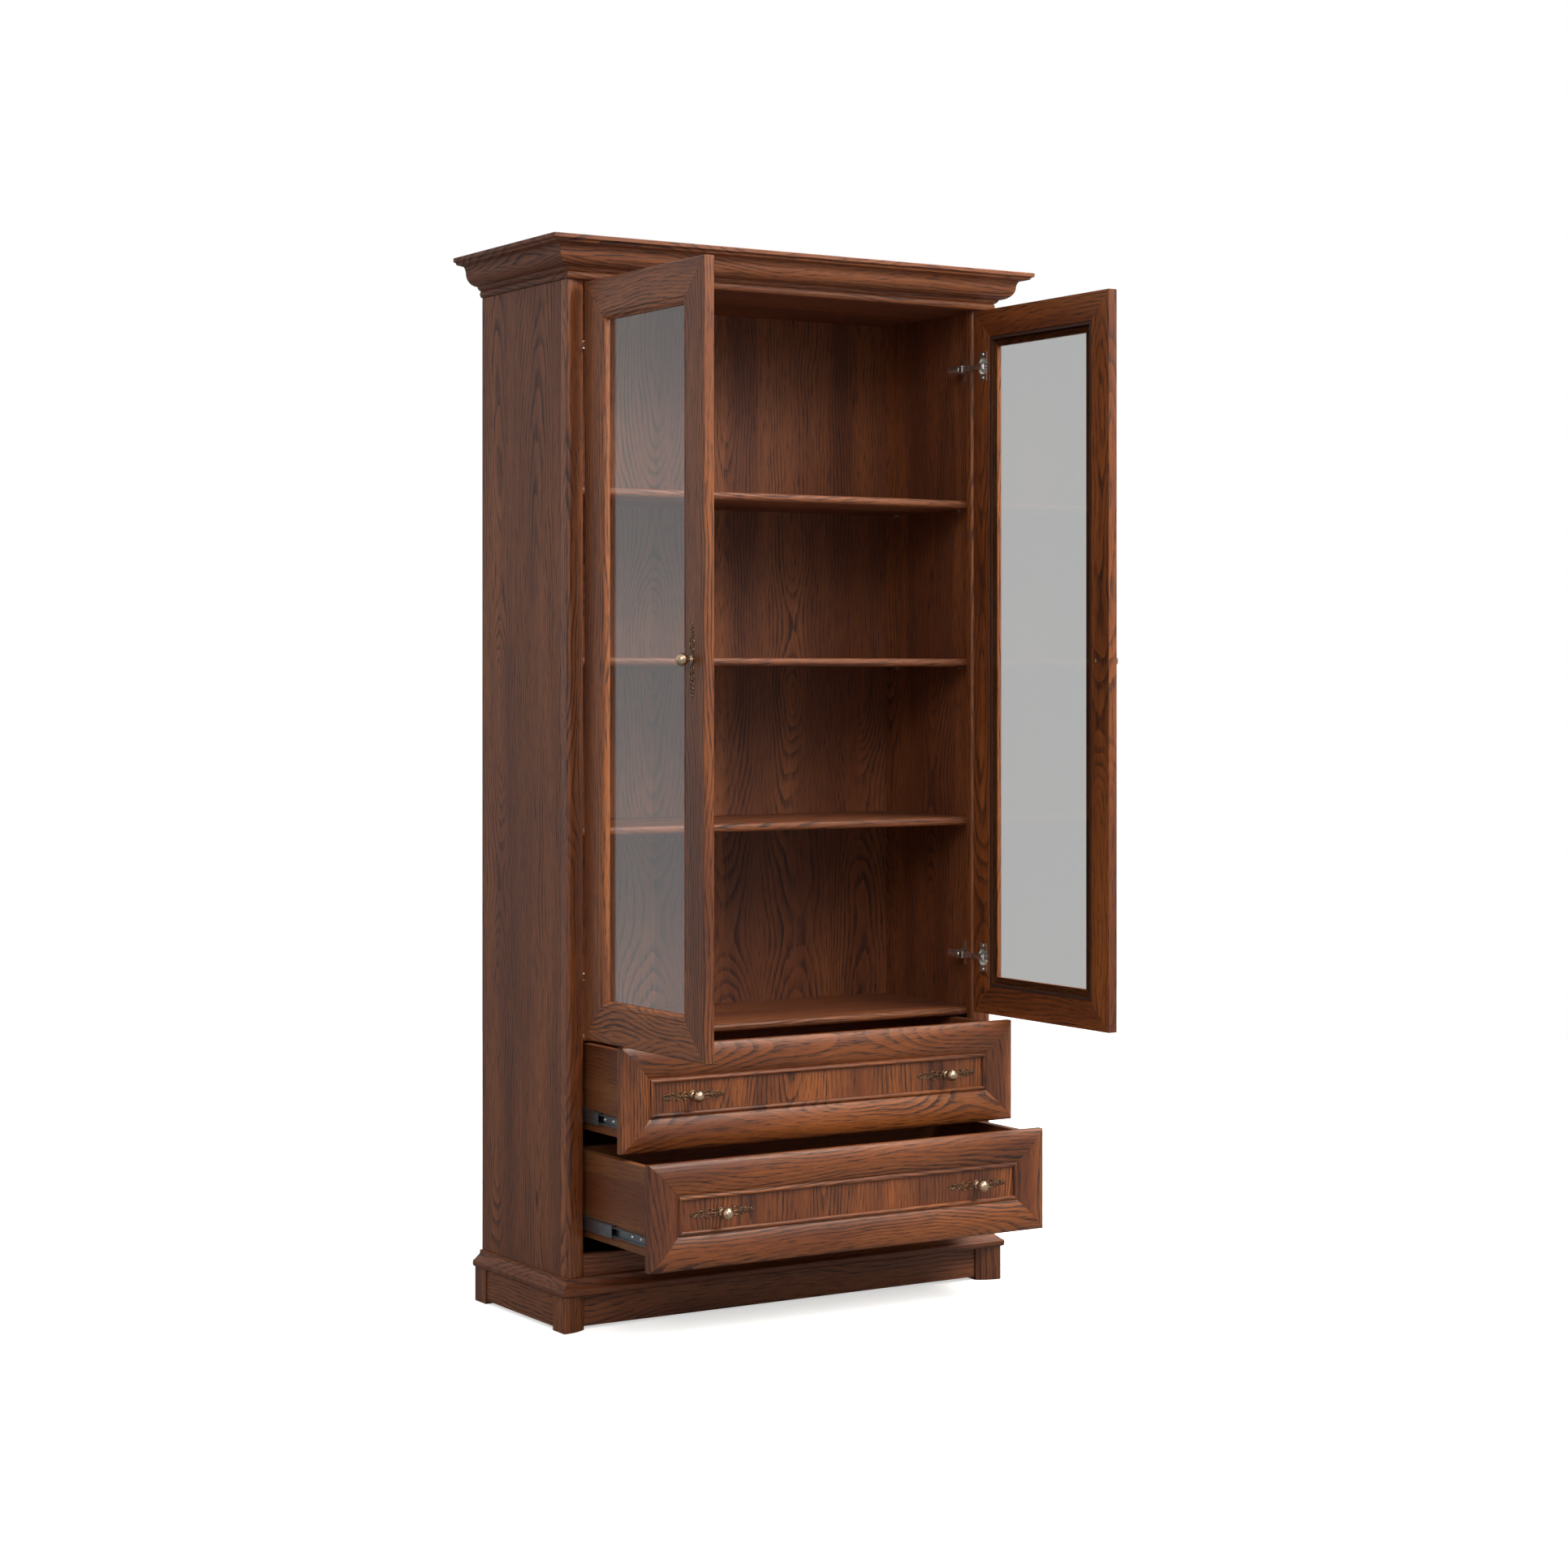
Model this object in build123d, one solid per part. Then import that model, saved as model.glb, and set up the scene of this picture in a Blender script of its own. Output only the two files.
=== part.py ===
from build123d import *
import math
import os

# China cabinet: a framed showcase with two glass doors over two drawers.
# Millimetres. +X is to the viewer's right, the front faces -Y, +Z is up, the floor is z = 0.
# It is stored with both doors open at a right angle and both drawers part way out, and y = 0
# is the middle of that stored depth, from the wall to the free edges of the open doors.

# ---------------------------------------------------------------- driving dimensions
total_height = 2030.0
cornice_width = 1090.0
cornice_depth = 422.0

# carcass
side_overhang = 62.5            # cornice past the side panel
front_overhang = 66.0           # cornice past the pilaster
side_thickness = 18.0
board_thickness = 16.0          # ceiling, floors and shelves
back_thickness = 4.0
pilaster_width = 39.0
pilaster_depth = 28.0
pilaster_fall = 13.0            # its rounded front drops back this far at the opening
rail_height = 40.0
rail_thickness = 18.0
edge_clearance = 4.0            # closed fronts to shelf edges

# base
foot_height = 67.0
base_height = 98.0
foot_proud = 15.5               # foot past the carcass
foot_width = 51.0
foot_depth = 46.0
foot_fall = 18.0                # its bowed front drops back this far at the inner edge
moulding_reach = 20.5           # base moulding past the carcass
moulding_inset = 42.0           # base moulding under the carcass
plinth_thickness = 16.0
plinth_lift = 6.0               # plinth boards clear the floor
plinth_recess = 3.0             # plinth boards behind the feet

# cornice
cornice_height = 73.6
cornice_inset = 28.0            # cornice over the carcass
cornice_slab = 8.5

# doors
side_gap = 2.5
front_recess = 6.0              # closed fronts behind the pilaster crest
door_thickness = 20.0
door_frame = 76.0
door_bead = 12.0                # bead and groove along the frame's inner edge
glass_lap = 21.5                # frame in front of the glass
door_lip = 13.5                 # wood in front of the glass
door_roundover = 2.5
glass_thickness = 4.0
glass_clearance = 1.0
gasket_width = 6.0
gasket_thickness = 2.0
door_head_gap = 6.0
door_foot_lap = 5.0             # the display floor stands this far above the doors' lower edges
door_open_forward = 10.0        # open door's hinge edge in front of the pilaster crest
door_open_outward = 10.0        # open door's face outward of the opening
door_knob_inset = 42.0

# hinges
hinge_inset = 112.0
cup_radius = 17.5
cup_depth = 11.5
cup_edge = 34.0                 # cup centre from the door's edge
cup_wall = 1.0
flange_height = 57.0
flange_width = 22.0
flange_thickness = 1.0
arm_length = 42.0
arm_width = 14.0
arm_height = 9.0
arm_wall = 1.6
link_length = 37.0
link_width = 10.0
link_thickness = 3.4
link_pin_radius = 1.6
link_play = 0.1
link_pin_inset = 7.5            # link pin inward of the opening
link_pin_setback = 6.0          # link pin behind the closed door
plate_length = 37.0
plate_wing = 48.0
plate_width = 16.0
plate_thickness = 2.0

# drawers
drawer_height = 195.0
drawer_gap = 6.0
rail_gap = 3.0
front_thickness = 22.0
front_frame = 70.0
front_bead = 10.0               # bead and groove along the frame's inner edge
panel_thickness = 8.0
panel_front = 10.0              # panel face in front of the drawer front's back
panel_lap = 8.0
drawer_board = 16.0
drawer_bottom = 4.0
drawer_bottom_lift = 12.0
drawer_low = 27.0               # drawer side above the front's lower edge
drawer_drop = 8.0               # drawer side under the front's upper edge
drawer_tail = 6.0               # drawer side behind the slide
drawer_knob_inset = 85.0        # knob from the panel's end
upper_drawer_open = 142.0
lower_drawer_open = 246.0

# ball-bearing slides
slide_step = 50.0
slide_thickness = 12.7
slide_height = 30.0
slide_middle_height = 23.0
slide_inner_height = 17.0
slide_wall = 1.2
slide_play = 0.5
slide_rise = 40.0               # slide above the front's lower edge
slide_setback = 3.0             # slide behind the drawer front
slide_clearance = 1.0           # slide inward of the opening
slide_rear_clearance = 10.0

# shelves
pin_pitch = 32.0
first_pin = 17.0
shelf_steps = (11, 21, 31)
shelf_play = 0.5
pin_radius = 2.5
pin_reach = 7.0
pin_depth = 9.0
pin_inset = 45.0

# handles
knob_reach = 32.0
knob_radius = 11.7
knob_neck = 4.5
knob_foot = 7.0
backplate_length = 138.0
backplate_width = 20.0
backplate_thickness = 1.6
screw_radius = 2.0
screw_play = 0.15
screw_head_radius = 4.0
screw_head_thickness = 1.8

# ---------------------------------------------------------------- derived planes
half_body = cornice_width / 2 - side_overhang
inner_half = half_body - side_thickness
opening_half = half_body - pilaster_width
body_depth = cornice_depth - front_overhang
door_width = (2 * opening_half - 3 * side_gap) / 2
door_quirk = door_frame - door_bead
door_rebate = door_frame - glass_lap
front_quirk = front_frame - front_bead

stored_depth = body_depth + door_open_forward + door_width
wall_y = stored_depth / 2
crest_y = wall_y - body_depth
closed_y = crest_y + front_recess
pilaster_back_y = crest_y + pilaster_depth
rail_y = pilaster_back_y - rail_thickness
shelf_y = closed_y + door_thickness + edge_clearance
back_y = wall_y - back_thickness

cornice_base = total_height - cornice_height
cornice_face_y = crest_y - front_overhang + side_overhang
cornice_inner_y = cornice_face_y + cornice_inset
rail_top = base_height + rail_height
lower_front_z = rail_top + rail_gap
upper_front_z = lower_front_z + drawer_height + drawer_gap
door_base = upper_front_z + drawer_height + drawer_gap
door_top = cornice_base - door_head_gap
door_height = door_top - door_base
floor_top = door_base + door_foot_lap

hinge_levels = (door_base + hinge_inset, door_top - hinge_inset)
door_knob_z = (door_base + door_top) / 2

# The closed door's hinge edge turns about one upright line, placed so that the open door stands
# door_open_forward in front of the pilaster and door_open_outward past the opening.
hinge_edge_x = -opening_half + side_gap
open_face_x = -opening_half - door_open_outward
open_edge_y = crest_y - door_open_forward
pivot_difference = open_face_x - closed_y
pivot_sum = open_edge_y + hinge_edge_x
pivot_x = (pivot_sum + pivot_difference) / 2
pivot_y = (pivot_sum - pivot_difference) / 2

link_pin_x = -opening_half + link_pin_inset
link_pin_y = closed_y + door_thickness + link_pin_setback

slide_x = opening_half - slide_clearance
box_half = slide_x - slide_thickness
box_front_y = closed_y + front_thickness
slide_front_y = box_front_y + slide_setback
slide_space = back_y - slide_front_y - slide_rear_clearance
slide_length = slide_step * math.floor(slide_space / slide_step)


# ---------------------------------------------------------------- helpers
def block(x0, x1, y0, y1, z0, z1):
    """A box between two corners."""
    size = Box(x1 - x0, y1 - y0, z1 - z0)
    return Pos((x0 + x1) / 2, (y0 + y1) / 2, (z0 + z1) / 2) * size


def mirrored(shape):
    """The same piece on the other side of the cabinet."""
    return mirror(shape, about=Plane.YZ)


def both_sides(shape):
    return [shape, mirrored(shape)]


def rod(start, axis, length, radius):
    """A cylinder that starts at a point and runs along an axis."""
    plane = Plane(origin=start, z_dir=axis)
    return extrude(plane * Circle(radius), amount=length)


def save(name, *shapes):
    """Write one node, as separate solids."""
    solids = [solid for shape in shapes for solid in shape.solids()]
    for solid in solids:
        solid.label = name
    node = solids[0] if len(solids) == 1 else Compound(children=solids)
    node.label = name
    export_step(node, os.path.join("parts", name + ".step"))


def mitred_frame(section, width, height, member):
    """Bottom, right, top and left members of a frame that stands in the XZ plane.

    section is a face in the YZ plane whose Z is the distance in from the outer edge. The frame is
    centred on x = 0 and z = 0.
    """
    members = []
    for quarter in range(4):
        length, reach = (height, width) if quarter % 2 else (width, height)
        bar = extrude(Pos(-length / 2, 0, 0) * section, amount=length)
        ends = Polyline((-length / 2, 0), (length / 2, 0), (length / 2 - member, member),
                        (member - length / 2, member), close=True)
        cutter = extrude(Plane.XZ * make_face(ends), amount=20 * member, both=True)
        bar = Pos(0, 0, -reach / 2) * (bar & cutter)
        members.append(bar.rotate(Axis.Y, -90 * quarter))
    return members


def section_face(*edges):
    return Plane.YZ * make_face(Curve() + list(edges))


def cap_profile(points, arcs):
    """Edges through a chain of points; arcs maps a start index to its middle point."""
    edges = []
    for index, start in enumerate(points):
        end = points[(index + 1) % len(points)]
        if index in arcs:
            edges.append(ThreePointArc(start, arcs[index], end))
        else:
            edges.append(Line(start, end))
    return edges


def wrap(points, arcs, face_y, z_low):
    """Front, left and right mouldings with one profile, mitred at the two front corners.

    A profile point is (distance out from the carcass face, height). face_y is the front face that
    the front moulding is measured from.
    """
    reach = max(point[0] for point in points)
    inset = -min(point[0] for point in points)
    height = max(point[1] for point in points)
    face = make_face(Curve() + cap_profile(points, arcs))
    corner_x = half_body + reach
    corner_y = face_y - reach
    inner_x = half_body - inset
    inner_y = face_y + inset

    front_plane = Plane(origin=(corner_x, face_y, z_low), x_dir=(0, -1, 0), z_dir=(-1, 0, 0))
    front_bar = extrude(front_plane * face, amount=2 * corner_x)
    front_plan = Polyline((-corner_x, corner_y), (corner_x, corner_y), (inner_x, inner_y),
                          (-inner_x, inner_y), close=True)
    front = front_bar & (Pos(0, 0, z_low) * extrude(make_face(front_plan), amount=height))

    side_plane = Plane(origin=(-half_body, corner_y, z_low), x_dir=(-1, 0, 0), z_dir=(0, 1, 0))
    side_bar = extrude(side_plane * face, amount=wall_y - corner_y)
    side_plan = Polyline((-corner_x, corner_y), (-inner_x, inner_y), (-inner_x, wall_y),
                         (-corner_x, wall_y), close=True)
    side = side_bar & (Pos(0, 0, z_low) * extrude(make_face(side_plan), amount=height))
    return front, side, mirrored(side)


# ---------------------------------------------------------------- carcass
def side_panel():
    panel = block(-half_body, -inner_half, pilaster_back_y, back_y, base_height, cornice_base)
    for step in shelf_steps:
        for y in pin_rows:
            panel -= rod((-inner_half - pin_depth, y, shelf_under(step) - pin_radius), (1, 0, 0),
                         pin_depth, pin_radius)
    return panel


def pilaster():
    """A square post with a rounded front that falls back towards the opening."""
    crest = (-half_body, crest_y)
    inner = (-opening_half, crest_y + pilaster_fall)
    outline = Curve() + [
        TangentArc(crest, inner, tangent=(1, 0)),
        Line(inner, (-opening_half, pilaster_back_y)),
        Line((-opening_half, pilaster_back_y), (-half_body, pilaster_back_y)),
        Line((-half_body, pilaster_back_y), crest),
    ]
    return Pos(0, 0, base_height) * extrude(make_face(outline), amount=cornice_base - base_height)


def bullnosed_board(half_width, top):
    """A board whose front edge is rounded."""
    board = block(-half_width, half_width, shelf_y, back_y, top - board_thickness, top)
    front_edges = board.faces().sort_by(Axis.Y)[0].edges().filter_by(Axis.X)
    return fillet(front_edges, board_thickness * 0.45)


def shelf_under(step):
    return floor_top + first_pin + step * pin_pitch


pin_rows = (shelf_y + pin_inset, back_y - pin_inset)


def make_carcass():
    left_side = side_panel()
    save("side_panel_left", left_side)
    save("side_panel_right", mirrored(left_side))
    save("pilaster_left", pilaster())
    save("pilaster_right", mirrored(pilaster()))
    lid_half = half_body - cornice_inset
    save("ceiling_panel", block(-lid_half, lid_half, cornice_inner_y, back_y,
                                cornice_base, cornice_base + board_thickness))
    save("display_floor", bullnosed_board(inner_half, floor_top))
    save("carcass_bottom", block(-inner_half, inner_half, pilaster_back_y, back_y,
                                 base_height, base_height + board_thickness))
    save("front_rail", block(-opening_half, opening_half, rail_y, pilaster_back_y, base_height, rail_top))
    save("back_panel", block(-half_body, half_body, back_y, wall_y, base_height, cornice_base))


def make_cornice():
    """Slab with a small cove under it, a deep ogee, a step and a bead at the bottom."""
    reach = side_overhang
    height = cornice_height
    slab = height - cornice_slab
    points = [
        (-cornice_inset, 0), (2.0, 0), (3.2, 12.8), (4.3, 13.2), (11.0, 20.9), (35.5, 43.0),
        (40.3, 57.8), (reach - 6.6, slab - 5.0), (reach - 1.3, slab), (reach, slab + 1.0),
        (reach, height - 1.0), (reach - 1.0, height), (-cornice_inset, height),
    ]
    arcs = {1: (5.2, 6.0), 3: (8.4, 16.0), 4: (26.6, 26.4), 5: (36.8, 51.0), 7: (reach - 5.0, slab - 1.6)}
    front, left, right = wrap(points, arcs, cornice_face_y, cornice_base)
    save("cornice_front", front)
    save("cornice_sides", left, right)
    lid_half = half_body - cornice_inset
    lid_base = total_height - board_thickness
    save("cornice_board", block(-lid_half, lid_half, cornice_inner_y, wall_y, lid_base, total_height))
    save("cornice_back_rail", block(-lid_half, lid_half, wall_y - board_thickness, wall_y,
                                    cornice_base + board_thickness, lid_base))


def make_base():
    height = base_height - foot_height
    reach = moulding_reach
    points = [
        (-moulding_inset, 0), (reach - 5.0, 0), (reach, 4.5), (reach, 9.0), (reach - 4.0, 14.0),
        (10.0, 20.0), (5.0, height - 3.0), (5.0, height), (-moulding_inset, height),
    ]
    arcs = {1: (reach - 1.3, 1.3), 3: (reach - 1.0, 12.2), 5: (6.3, 23.2)}
    front, left, right = wrap(points, arcs, crest_y, foot_height)
    save("base_moulding_front", front)
    save("base_moulding_sides", left, right)

    foot_x = -half_body - foot_proud
    foot_y = crest_y - foot_proud
    crest = (foot_x, foot_y)
    inner = (foot_x + foot_width, foot_y + foot_fall)
    outline = Curve() + [
        TangentArc(crest, inner, tangent=(1, 0)),
        Line(inner, (foot_x + foot_width, foot_y + foot_depth)),
        Line((foot_x + foot_width, foot_y + foot_depth), (foot_x, foot_y + foot_depth)),
        Line((foot_x, foot_y + foot_depth), crest),
    ]
    front_foot = extrude(make_face(outline), amount=foot_height)
    rear_foot = block(foot_x, foot_x + foot_width, wall_y - foot_depth, wall_y, 0, foot_height)
    save("feet", *both_sides(front_foot), *both_sides(rear_foot))

    board_x = foot_x + plinth_recess
    board_y = foot_y + foot_fall + plinth_recess
    between = -foot_x - foot_width
    front_board = block(-between, between, board_y, board_y + plinth_thickness, plinth_lift, foot_height)
    within = half_body - moulding_inset
    back_board = block(-within, within, wall_y - plinth_recess - plinth_thickness,
                       wall_y - plinth_recess, plinth_lift, base_height)
    save("plinth_rails", front_board, back_board)
    side_board = block(board_x, board_x + plinth_thickness, foot_y + foot_depth, wall_y - foot_depth,
                       plinth_lift, foot_height)
    save("plinth_sides", *both_sides(side_board))


def make_shelves():
    names = ("shelf_lower", "shelf_middle", "shelf_upper")
    pins = []
    for name, step in zip(names, shelf_steps):
        under = shelf_under(step)
        save(name, bullnosed_board(inner_half - shelf_play, under + board_thickness))
        for y in pin_rows:
            pin = rod((-inner_half - pin_depth, y, under - pin_radius), (1, 0, 0),
                      pin_depth + pin_reach, pin_radius)
            pins += both_sides(pin)
    save("shelf_pins", *pins)


# ---------------------------------------------------------------- hardware
def backplate(horizontal):
    """A pierced plate in the XZ plane with its back on y = 0: a ring each side of the knob."""
    half = backplate_length / 2
    tip = backplate_width * 0.14
    waist = backplate_width * 0.22
    arm = Polyline((8.0, -waist), (half * 0.6, -backplate_width * 0.32), (half, -tip), (half, tip),
                   (half * 0.6, backplate_width * 0.32), (8.0, waist), close=True)
    outline = Circle(backplate_width * 0.45) + make_face(arm) + mirror(make_face(arm), about=Plane.YZ)
    for side in (1, -1):
        ring = Pos(side * 17.0, 0) * Circle(backplate_width / 2)
        outline += ring
        outline -= Pos(side * 17.0, 0) * Circle(backplate_width * 0.22)
        outline -= Pos(side * half * 0.62, 0) * Ellipse(7.0, backplate_width * 0.13)
    plate = extrude(Plane.XZ * outline, amount=backplate_thickness)
    return plate if horizontal else plate.rotate(Axis.Y, 90)


def knob(grip):
    """A ball on a neck, along -Y, held by a screw whose head bears on the back of the wood."""
    start = backplate_thickness
    ball = knob_reach - knob_radius
    neck_end = ball - math.sqrt(knob_radius ** 2 - knob_neck ** 2)
    shank = screw_radius - screw_play
    outline = Curve() + [
        Polyline((0, -grip - screw_head_thickness), (screw_head_radius, -grip - screw_head_thickness),
                 (screw_head_radius, -grip), (shank, -grip), (shank, start), (knob_foot, start),
                 (knob_foot, start + 1.5), (knob_neck, start + 3.5), (knob_neck, neck_end)),
        ThreePointArc((knob_neck, neck_end), (knob_radius, ball), (0, knob_reach)),
        Line((0, knob_reach), (0, -grip - screw_head_thickness)),
    ]
    return revolve(make_face(outline), Axis.Y).rotate(Axis.X, 180)


def make_handle(prefix, places, horizontal, grip, place):
    """Backplates and knobs on a face that looks to -Y; grip is the thickness they clamp."""
    plates = []
    knobs = []
    hole = rod((0, 0, 0), (0, -1, 0), backplate_thickness, screw_radius)
    for x, y, z in places:
        plates.append(place(Pos(x, y, z) * (backplate(horizontal) - hole)))
        knobs.append(place(Pos(x, y, z) * knob(grip)))
    plural = "s" if len(places) > 1 else ""
    save(prefix + "_backplate" + plural, *plates)
    save(prefix + "_knob" + plural, *knobs)


def slide_channel(height, x_open, x_back, y0, y1, z_mid):
    """A C-shaped member: a web at x_back and two flanges that reach to x_open."""
    z0 = z_mid - height / 2
    z1 = z_mid + height / 2
    sign = 1 if x_open > x_back else -1
    web = block(*sorted((x_back, x_back + sign * slide_wall)), y0, y1, z0, z1)
    low = block(*sorted((x_back, x_open)), y0, y1, z0, z0 + slide_wall)
    high = block(*sorted((x_back, x_open)), y0, y1, z1 - slide_wall, z1)
    return web + low + high


# ---------------------------------------------------------------- doors
def door_section():
    """Flat face, rounded outer edge, quirk, bead and the recess for the glass."""
    front = closed_y
    rise = door_roundover
    bead_start = door_quirk + 2.5
    points = [
        (front + door_thickness, 0), (front + rise, 0), (front, rise), (front, door_quirk),
        (front + 1.6, door_quirk + 1.0), (front + 1.6, bead_start), (front + 0.6, bead_start + 0.6),
        (front + 7.0, door_frame), (front + door_lip, door_frame), (front + door_lip, door_rebate),
        (front + door_thickness, door_rebate),
    ]
    bend = rise * (1 - math.sqrt(0.5))
    arcs = {1: (front + bend, bend), 6: (front + 2.0, door_frame - 3.2)}
    return section_face(*cap_profile(points, arcs))


def open_left(shape):
    """Turn a closed left-hand piece to the stored, open pose."""
    return shape.rotate(Axis((pivot_x, pivot_y, 0), (0, 0, 1)), -90)


def make_door(side, place):
    """side is left or right; place carries a closed left-hand piece to its stored place."""
    name = side + "_door"
    centre = Pos(hinge_edge_x + door_width / 2, 0, door_base + door_height / 2)
    bottom, lock, top, hinge = [centre * bar for bar in mitred_frame(door_section(), door_width,
                                                                    door_height, door_frame)]
    back = closed_y + door_thickness
    glass_y = closed_y + door_lip
    for level in hinge_levels:
        hinge -= rod((hinge_edge_x + cup_edge, back - cup_depth, level), (0, 1, 0), cup_depth, cup_radius)
    knob_x = hinge_edge_x + door_width - door_knob_inset
    lock -= rod((knob_x, closed_y, door_knob_z), (0, 1, 0), door_thickness, screw_radius)
    save(name + "_hinge_stile", place(hinge))
    save(name + "_lock_stile", place(lock))
    save(name + "_rails", place(bottom), place(top))

    glass_x0 = hinge_edge_x + door_rebate + glass_clearance
    glass_x1 = hinge_edge_x + door_width - door_rebate - glass_clearance
    glass_z0 = door_base + door_rebate + glass_clearance
    glass_z1 = door_top - door_rebate - glass_clearance
    glass_back = glass_y + glass_thickness
    save(name + "_glass", place(block(glass_x0, glass_x1, glass_y, glass_back, glass_z0, glass_z1)))
    outer = block(glass_x0, glass_x1, glass_back, glass_back + gasket_thickness, glass_z0, glass_z1)
    inner = block(glass_x0 + gasket_width, glass_x1 - gasket_width, glass_back,
                  glass_back + gasket_thickness, glass_z0 + gasket_width, glass_z1 - gasket_width)
    save(name + "_gasket", place(outer - inner))

    cups = []
    for level in hinge_levels:
        cup_x = hinge_edge_x + cup_edge
        cup = rod((cup_x, back - cup_depth, level), (0, 1, 0), cup_depth, cup_radius)
        cup -= rod((cup_x, back - cup_depth + cup_wall, level), (0, 1, 0), cup_depth, cup_radius - cup_wall)
        flange = block(cup_x - flange_width / 2, cup_x + flange_width / 2, back, back + flange_thickness,
                       level - flange_height / 2, level + flange_height / 2)
        flange -= rod((cup_x, back, level), (0, 1, 0), flange_thickness, cup_radius - cup_wall)
        knuckle = rod((cup_x - 7.0, back - 5.0, level - link_width / 2), (0, 0, 1), link_width, 3.0)
        stay = block(cup_x - 7.0, cup_x + cup_radius - 0.9 * cup_wall, back - 6.0, back - 4.0,
                     level - link_width / 2, level + link_width / 2)
        cups.append(place(cup + flange + knuckle + stay))
    save(name + "_hinge_cups", *cups)
    make_handle(name, [(knob_x, closed_y, door_knob_z)], False, door_thickness, place)


def make_hinges():
    """Mounting plate and arm on each side panel, and the link that swings with the door."""
    plates = []
    arms = []
    links = []
    arm_x = link_pin_x - arm_height / 2
    web_y = link_pin_y + link_thickness
    arm_end = web_y + arm_length
    nose_y = link_pin_y - link_pin_radius - 1.0
    plate_y = (web_y + arm_end) / 2
    plate_x = -inner_half + plate_thickness
    for level in hinge_levels:
        low = level - arm_width / 2
        high = level + arm_width / 2
        arm = block(arm_x, arm_x + arm_wall, web_y, arm_end, low, high)
        for z in (low, high - arm_wall):
            arm += block(arm_x, arm_x + arm_height, nose_y, arm_end, z, z + arm_wall)
        pin = rod((link_pin_x, link_pin_y, low), (0, 0, 1), arm_width, link_pin_radius)
        arms += both_sides(arm - pin)
        arms += both_sides(pin)

        foot = block(-inner_half, plate_x, plate_y - plate_length / 2, plate_y + plate_length / 2,
                     level - plate_width / 2, level + plate_width / 2)
        foot += block(-inner_half, plate_x, plate_y - plate_width / 2, plate_y + plate_width / 2,
                      level - plate_wing / 2, level + plate_wing / 2)
        tower = block(-inner_half, arm_x, plate_y - plate_width / 2, plate_y + plate_width / 2,
                      level - plate_width / 2 + 1.0, level + plate_width / 2 - 1.0)
        plates += both_sides(foot + tower)

        low = level - link_width / 2
        link = block(link_pin_x - link_thickness / 2, link_pin_x + link_thickness / 2,
                     link_pin_y - link_length, link_pin_y, low, low + link_width)
        link += rod((link_pin_x, link_pin_y, low), (0, 0, 1), link_width, link_pin_radius + 1.0)
        link -= rod((link_pin_x, link_pin_y, low), (0, 0, 1), link_width, link_pin_radius + link_play)
        links.append(link)
    save("hinge_plates", *plates)
    save("hinge_arms", *arms)
    save("left_hinge_links", *links)
    save("right_hinge_links", *[mirrored(link) for link in links])


# ---------------------------------------------------------------- drawers
def front_section():
    """Cushion roll between a square edge and a quirk, then a bead; the panel sits behind it."""
    back = closed_y + front_thickness
    bead = front_quirk + 1.5
    panel = back - panel_front
    points = [
        (back, 0), (back - 13.5, 0), (back - 15.0, 1.0), (back - 14.0, front_quirk - 1.5),
        (back - 12.6, front_quirk), (back - 12.6, bead), (back - 13.2, bead + 0.3),
        (back - 13.0, front_frame - 0.8), (panel, front_frame), (panel, front_frame - panel_lap),
        (back, front_frame - panel_lap),
    ]
    arcs = {2: (closed_y, 29.0), 6: (back - 16.2, bead + 4.0)}
    return section_face(*cap_profile(points, arcs))


def make_drawer(name, base, opened):
    """A drawer with its front, box, handles, and the slide members that move with it."""
    place = Pos(0, -opened, 0)
    half = opening_half - side_gap
    middle_z = base + drawer_height / 2
    frame = mitred_frame(front_section(), 2 * half, drawer_height, front_frame)
    save(name + "_front_frame", *[place * Pos(0, 0, middle_z) * bar for bar in frame])

    back = closed_y + front_thickness
    panel_half = half - front_frame + panel_lap
    panel_y = back - panel_front
    panel_z = drawer_height / 2 - front_frame + panel_lap
    panel = block(-panel_half, panel_half, panel_y, panel_y + panel_thickness,
                  middle_z - panel_z, middle_z + panel_z)
    knob_x = half - front_frame - drawer_knob_inset
    knob_places = [(side * knob_x, panel_y, middle_z) for side in (-1, 1)]
    for x, y, z in knob_places:
        panel -= rod((x, y, z), (0, 1, 0), panel_thickness, screw_radius)
    save(name + "_front_panel", place * panel)
    make_handle(name, knob_places, True, panel_thickness, lambda shape: place * shape)

    low = base + drawer_low
    high = base + drawer_height - drawer_drop
    tail = slide_front_y + slide_length + drawer_tail
    bottom = low + drawer_bottom_lift
    groove = drawer_board / 2
    side = block(-box_half, drawer_board - box_half, box_front_y, tail, low, high)
    side -= block(groove - box_half, drawer_board - box_half, box_front_y, tail, bottom,
                  bottom + drawer_bottom)
    rear = block(drawer_board - box_half, box_half - drawer_board, tail - drawer_board, tail,
                 bottom + drawer_bottom, high)
    save(name + "_box", *[place * piece for piece in (*both_sides(side), rear)])
    sheet = block(groove - box_half, box_half - groove, box_front_y, tail, bottom, bottom + drawer_bottom)
    save(name + "_bottom", place * sheet)

    # inner members ride on the drawer, middle members go half as far
    slide_z = base + slide_rise + slide_height / 2
    middle_back = -slide_x + slide_wall + slide_play
    inner_open = middle_back + slide_wall + slide_play
    slide_back_y = slide_front_y + slide_length
    inner = slide_channel(slide_inner_height, inner_open, -box_half, slide_front_y, slide_back_y, slide_z)
    save(name + "_slide_inners", *[place * piece for piece in both_sides(inner)])
    middle = slide_channel(slide_middle_height, -box_half - slide_play, middle_back, slide_front_y,
                           slide_back_y, slide_z)
    half_way = Pos(0, -opened / 2, 0)
    save(name + "_slide_middles", *[half_way * piece for piece in both_sides(middle)])


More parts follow.
